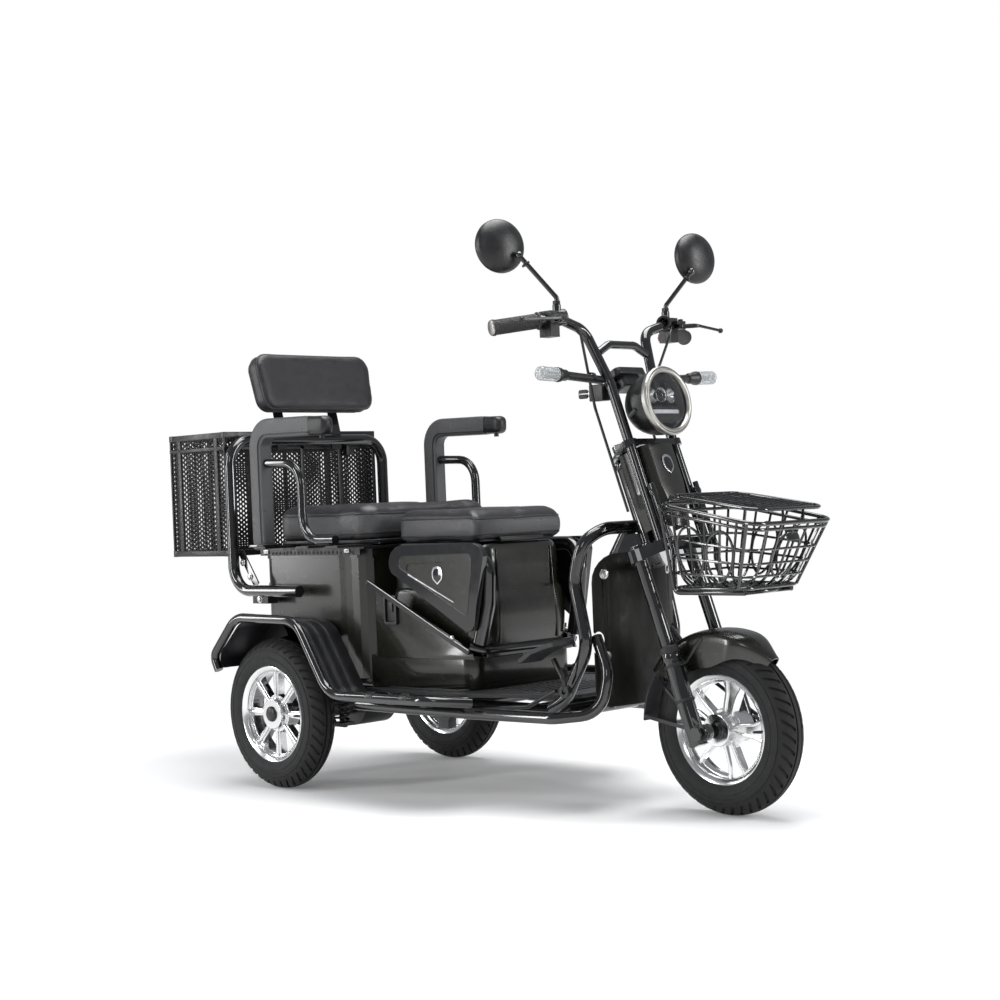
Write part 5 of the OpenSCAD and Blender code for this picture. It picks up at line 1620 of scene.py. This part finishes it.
def side_details():
    """Sleeves and clips on the edge tubes, latches and rings below the seat, rods under the floor."""
    dark, bright = Piece(), Piece()
    for side in (-1, 1):
        for x in (-0.030, 0.085):
            dark.lathe([(0.0102, -0.014), (0.0125, -0.013), (0.0125, 0.013), (0.0102, 0.014)],
                       facing((x, side * 0.3385, 0.2417 + 0.0118 * (x + 0.178)), (1, 0, 0.012)), 28)
        for x in (-0.100, 0.020, 0.130):
            dark.block((x - 0.012, min(side * 0.2385, side * 0.330), 0.2280),
                       (x + 0.012, max(side * 0.2385, side * 0.330), 0.2315))
        for x in (-0.545, -0.235):
            bright.slab(rounded_outline(0.009, 0.0045, 0.0015, 3), 0.003,
                        facing((x, side * 0.2212, 0.566), (0, side, 0)))
            bright.tube([(x - 0.005, side * 0.2252, 0.566), (x + 0.005, side * 0.2252, 0.566)], 0.0018)
        for k in range(24):
            spot = (-0.550 + 0.0145 * k, side * 0.2212, 0.562)
            dark.lathe([(0.0022, 0), (0.0040, 0), (0.0040, 0.0008), (0.0022, 0.0008)],
                       facing(spot, (0, side, 0)), 10)
    dark.tube([(0.392, -0.186, 0.262), (0.300, -0.180, 0.222), (-0.150, -0.165, 0.190),
               (-0.300, -0.165, 0.186)], ROD_R, bend=0.03)
    dark.tube([(0.180, 0.165, 0.212), (-0.150, 0.165, 0.192), (-0.300, 0.165, 0.188)], ROD_R, bend=0.03)
    dark.block((0.060, -0.236, 0.190), (0.110, -0.200, 0.228))
    dark.block((0.068, -0.230, 0.168), (0.100, -0.206, 0.192))
    dark.make("underfloor_rods", "root", BLACK_SATIN, "main_frame", bevel=0.0006)
    bright.make("seat_latches", "root", ZINC, "alloy_parts", bevel=0.0005)


def floor_grips():
    """Round studs between the moulded ribs of the floor, and long ribs beside the body."""
    piece = Piece()
    for k in range(7):
        x = 0.162 + 0.024 * k
        for side in (-1, 1):
            for j in range(6):
                y = side * (0.016 + 0.018 * j)
                piece.slab([(x - 0.0045 + p, y + q) for p, q in circle(0.0032, 10)], 0.0022,
                           Matrix.Translation((0, 0, 0.2458)))
    piece.make("floor_studs", "root", FLOOR_PLASTIC, "floor_board")
    mat = Piece()
    for side in (-1, 1):
        for k in range(4):
            y = side * (0.150 + 0.014 * k)
            mat.block((-0.160, y - 0.003, 0.2458), (0.105, y + 0.003, 0.2488))
    mat.make("floor_side_ribs", "root", FLOOR_PLASTIC, "floor_board", bevel=0.001)


def tail_details():
    """Rims and ringed lenses of the tail lamps, and a blank plate holder."""
    for word, side in SIDES:
        ring = Piece()
        place = facing((-0.5890, side * 0.150, 0.470), (-1, 0, 0))
        ring.lathe([(0.0290, 0), (0.0335, 0), (0.0335, 0.004), (0.0315, 0.006), (0.0290, 0.005)], place, 56)
        ring.make(f"tail_lamp_rim_{word}", "root", CHROME, "chrome_ring", sharp=50)
        facets = Piece()
        for k in range(3):
            r = 0.006 + 0.008 * k
            facets.lathe([(r, 0.0088), (r + 0.002, 0.0100), (r + 0.004, 0.0088)], place, 56)
        facets.make(f"tail_lamp_rings_{word}", "root", RED_LENS, "tail_lamps")
    plate = Piece()
    plate.slab(rounded_outline(0.090, 0.060, 0.008), 0.0015, facing((-0.5735, 0, 0.390), (-1, 0, 0)))
    plate.make("rear_plate_holder", "root", BLACK_SATIN, "body_trim", bevel=0.0005)


def pedal_details():
    """Rubber ribs across the brake pedal."""
    piece = Piece()
    for k in range(4):
        t = k / 3
        x, z = 0.350 + 0.078 * t, 0.3405 + 0.0290 * t - 0.008 * t * t
        piece.block((x - 0.003, -0.236, z - 0.001), (x + 0.003, -0.176, z + 0.0052))
    piece.make("brake_pedal_ribs", "pedal", GRIP_RUBBER, "brake_pedal", bevel=0.0008)


BUILD = (all_wheels, front_fender, fork_details, front_basket, basket_lid, rear_basket, driver_seat,
         passenger_seat, backrest, armrests, grips, levers, pod_details, mirrors, headlamp, indicators,
         front_cover, display_details, side_covers, body_shell, bent_tubes, rear_fenders, shock_coils,
         hex_bolts, side_details, floor_grips, tail_details, pedal_details)
for build in BUILD:
    build()


# ---------------------------------------------------------------- studio

def seamless_white():
    """Floor that takes soft shadows near the tricycle and fades into the white background."""
    look = finish("studio_white", (0.86, 0.86, 0.86), 0.8, dust=0.0, mottle=(3.0, 0.02))
    tree = look.node_tree
    shader = tree.nodes["Principled BSDF"]
    reach = add(tree, "ShaderNodeVectorMath", {0: place_on(tree)}, operation="LENGTH").outputs["Value"]
    fade = add(tree, "ShaderNodeMapRange", {"Value": reach, "From Min": 1.1, "From Max": 2.4},
               interpolation_type="SMOOTHSTEP").outputs["Result"]
    near = shader.inputs["Base Color"].links[0].from_socket
    tree.links.new(mix(tree, fade, near, (0, 0, 0)), shader.inputs["Base Color"])
    tree.links.new(mix(tree, fade, (0.10, 0.10, 0.10), (1, 1, 1)), shader.inputs["Emission Color"])
    shader.inputs["Emission Strength"].default_value = 1.0
    shader.inputs["Specular IOR Level"].default_value = 0.0
    return look


def studio():
    """White floor and the softboxes."""
    floor = Piece()
    floor.slab(circle(9.0, 96), -0.002)
    data = bpy.data.meshes.new("studio_floor")
    floor.mesh.to_mesh(data)
    floor.mesh.free()
    ground = place_in_scene("studio_floor", data)
    ground.data.materials.append(seamless_white())
    # Name, place, aim, width and height, power.
    lights = (("side_softbox", (-1.6, -4.0, 1.7), (-0.3, 0, 0.5), (0.5, 2.8), 75.0),
              ("tall_strip", (-3.2, -2.2, 1.5), (-0.4, 0, 0.5), (0.4, 2.4), 30.0),
              ("front_strip", (3.8, 1.6, 1.6), (0.4, 0, 0.6), (0.6, 2.6), 80.0),
              ("top_softbox", (0.2, 0.2, 4.0), (0, 0, 0.4), (3.4, 2.6), 190.0),
              ("camera_fill", (3.2, -4.8, 2.8), (0, 0, 0.5), (1.2, 1.6), 22.0))
    for name, spot, aim, size, power in lights:
        data = bpy.data.lights.new(name, "AREA")
        data.shape = "RECTANGLE"
        data.size, data.size_y = size
        data.energy = power
        lamp = place_in_scene(name, data)
        lamp.location = spot
        lamp.rotation_euler = (Vector(aim) - Vector(spot)).to_track_quat("-Z", "Y").to_euler()


def world():
    """White to the camera, and a dimmer cool white to the surfaces."""
    sky = bpy.data.worlds.new("studio")
    bpy.context.scene.world = sky
    sky.use_nodes = True
    tree = sky.node_tree
    tree.nodes.clear()
    seen = add(tree, "ShaderNodeBackground", {"Color": (1, 1, 1, 1), "Strength": 1.0})
    lit = add(tree, "ShaderNodeBackground", {"Color": (0.92, 0.95, 1.0, 1), "Strength": 0.30})
    rays = add(tree, "ShaderNodeLightPath")
    both = add(tree, "ShaderNodeMixShader")
    tree.links.new(rays.outputs["Is Camera Ray"], both.inputs[0])
    tree.links.new(lit.outputs[0], both.inputs[1])
    tree.links.new(seen.outputs[0], both.inputs[2])
    out = add(tree, "ShaderNodeOutputWorld")
    tree.links.new(both.outputs[0], out.inputs[0])


def camera():
    """Long lens at the height of the saddle, ahead and to the right of the tricycle."""
    turn, lift, roll = math.radians(45.227), math.radians(0.112), math.radians(-2.359)
    back = Vector((math.sin(turn) * math.cos(lift), -math.cos(turn) * math.cos(lift), math.sin(lift)))
    right = Vector((math.cos(turn), math.sin(turn), 0))
    up = back.cross(right)
    axes = (right * math.cos(roll) + up * math.sin(roll), up * math.cos(roll) - right * math.sin(roll), back)
    data = bpy.data.cameras.new("camera")
    data.lens = 65.23
    data.sensor_width = 36
    view = place_in_scene("camera", data)
    view.matrix_world = Matrix.Translation((3.050, -2.967, 0.679)) @ Matrix(axes).transposed().to_4x4()
    bpy.context.scene.camera = view
    bpy.context.scene.view_settings.view_transform = "Standard"


studio()
world()
camera()

bpy.context.view_layer.update()
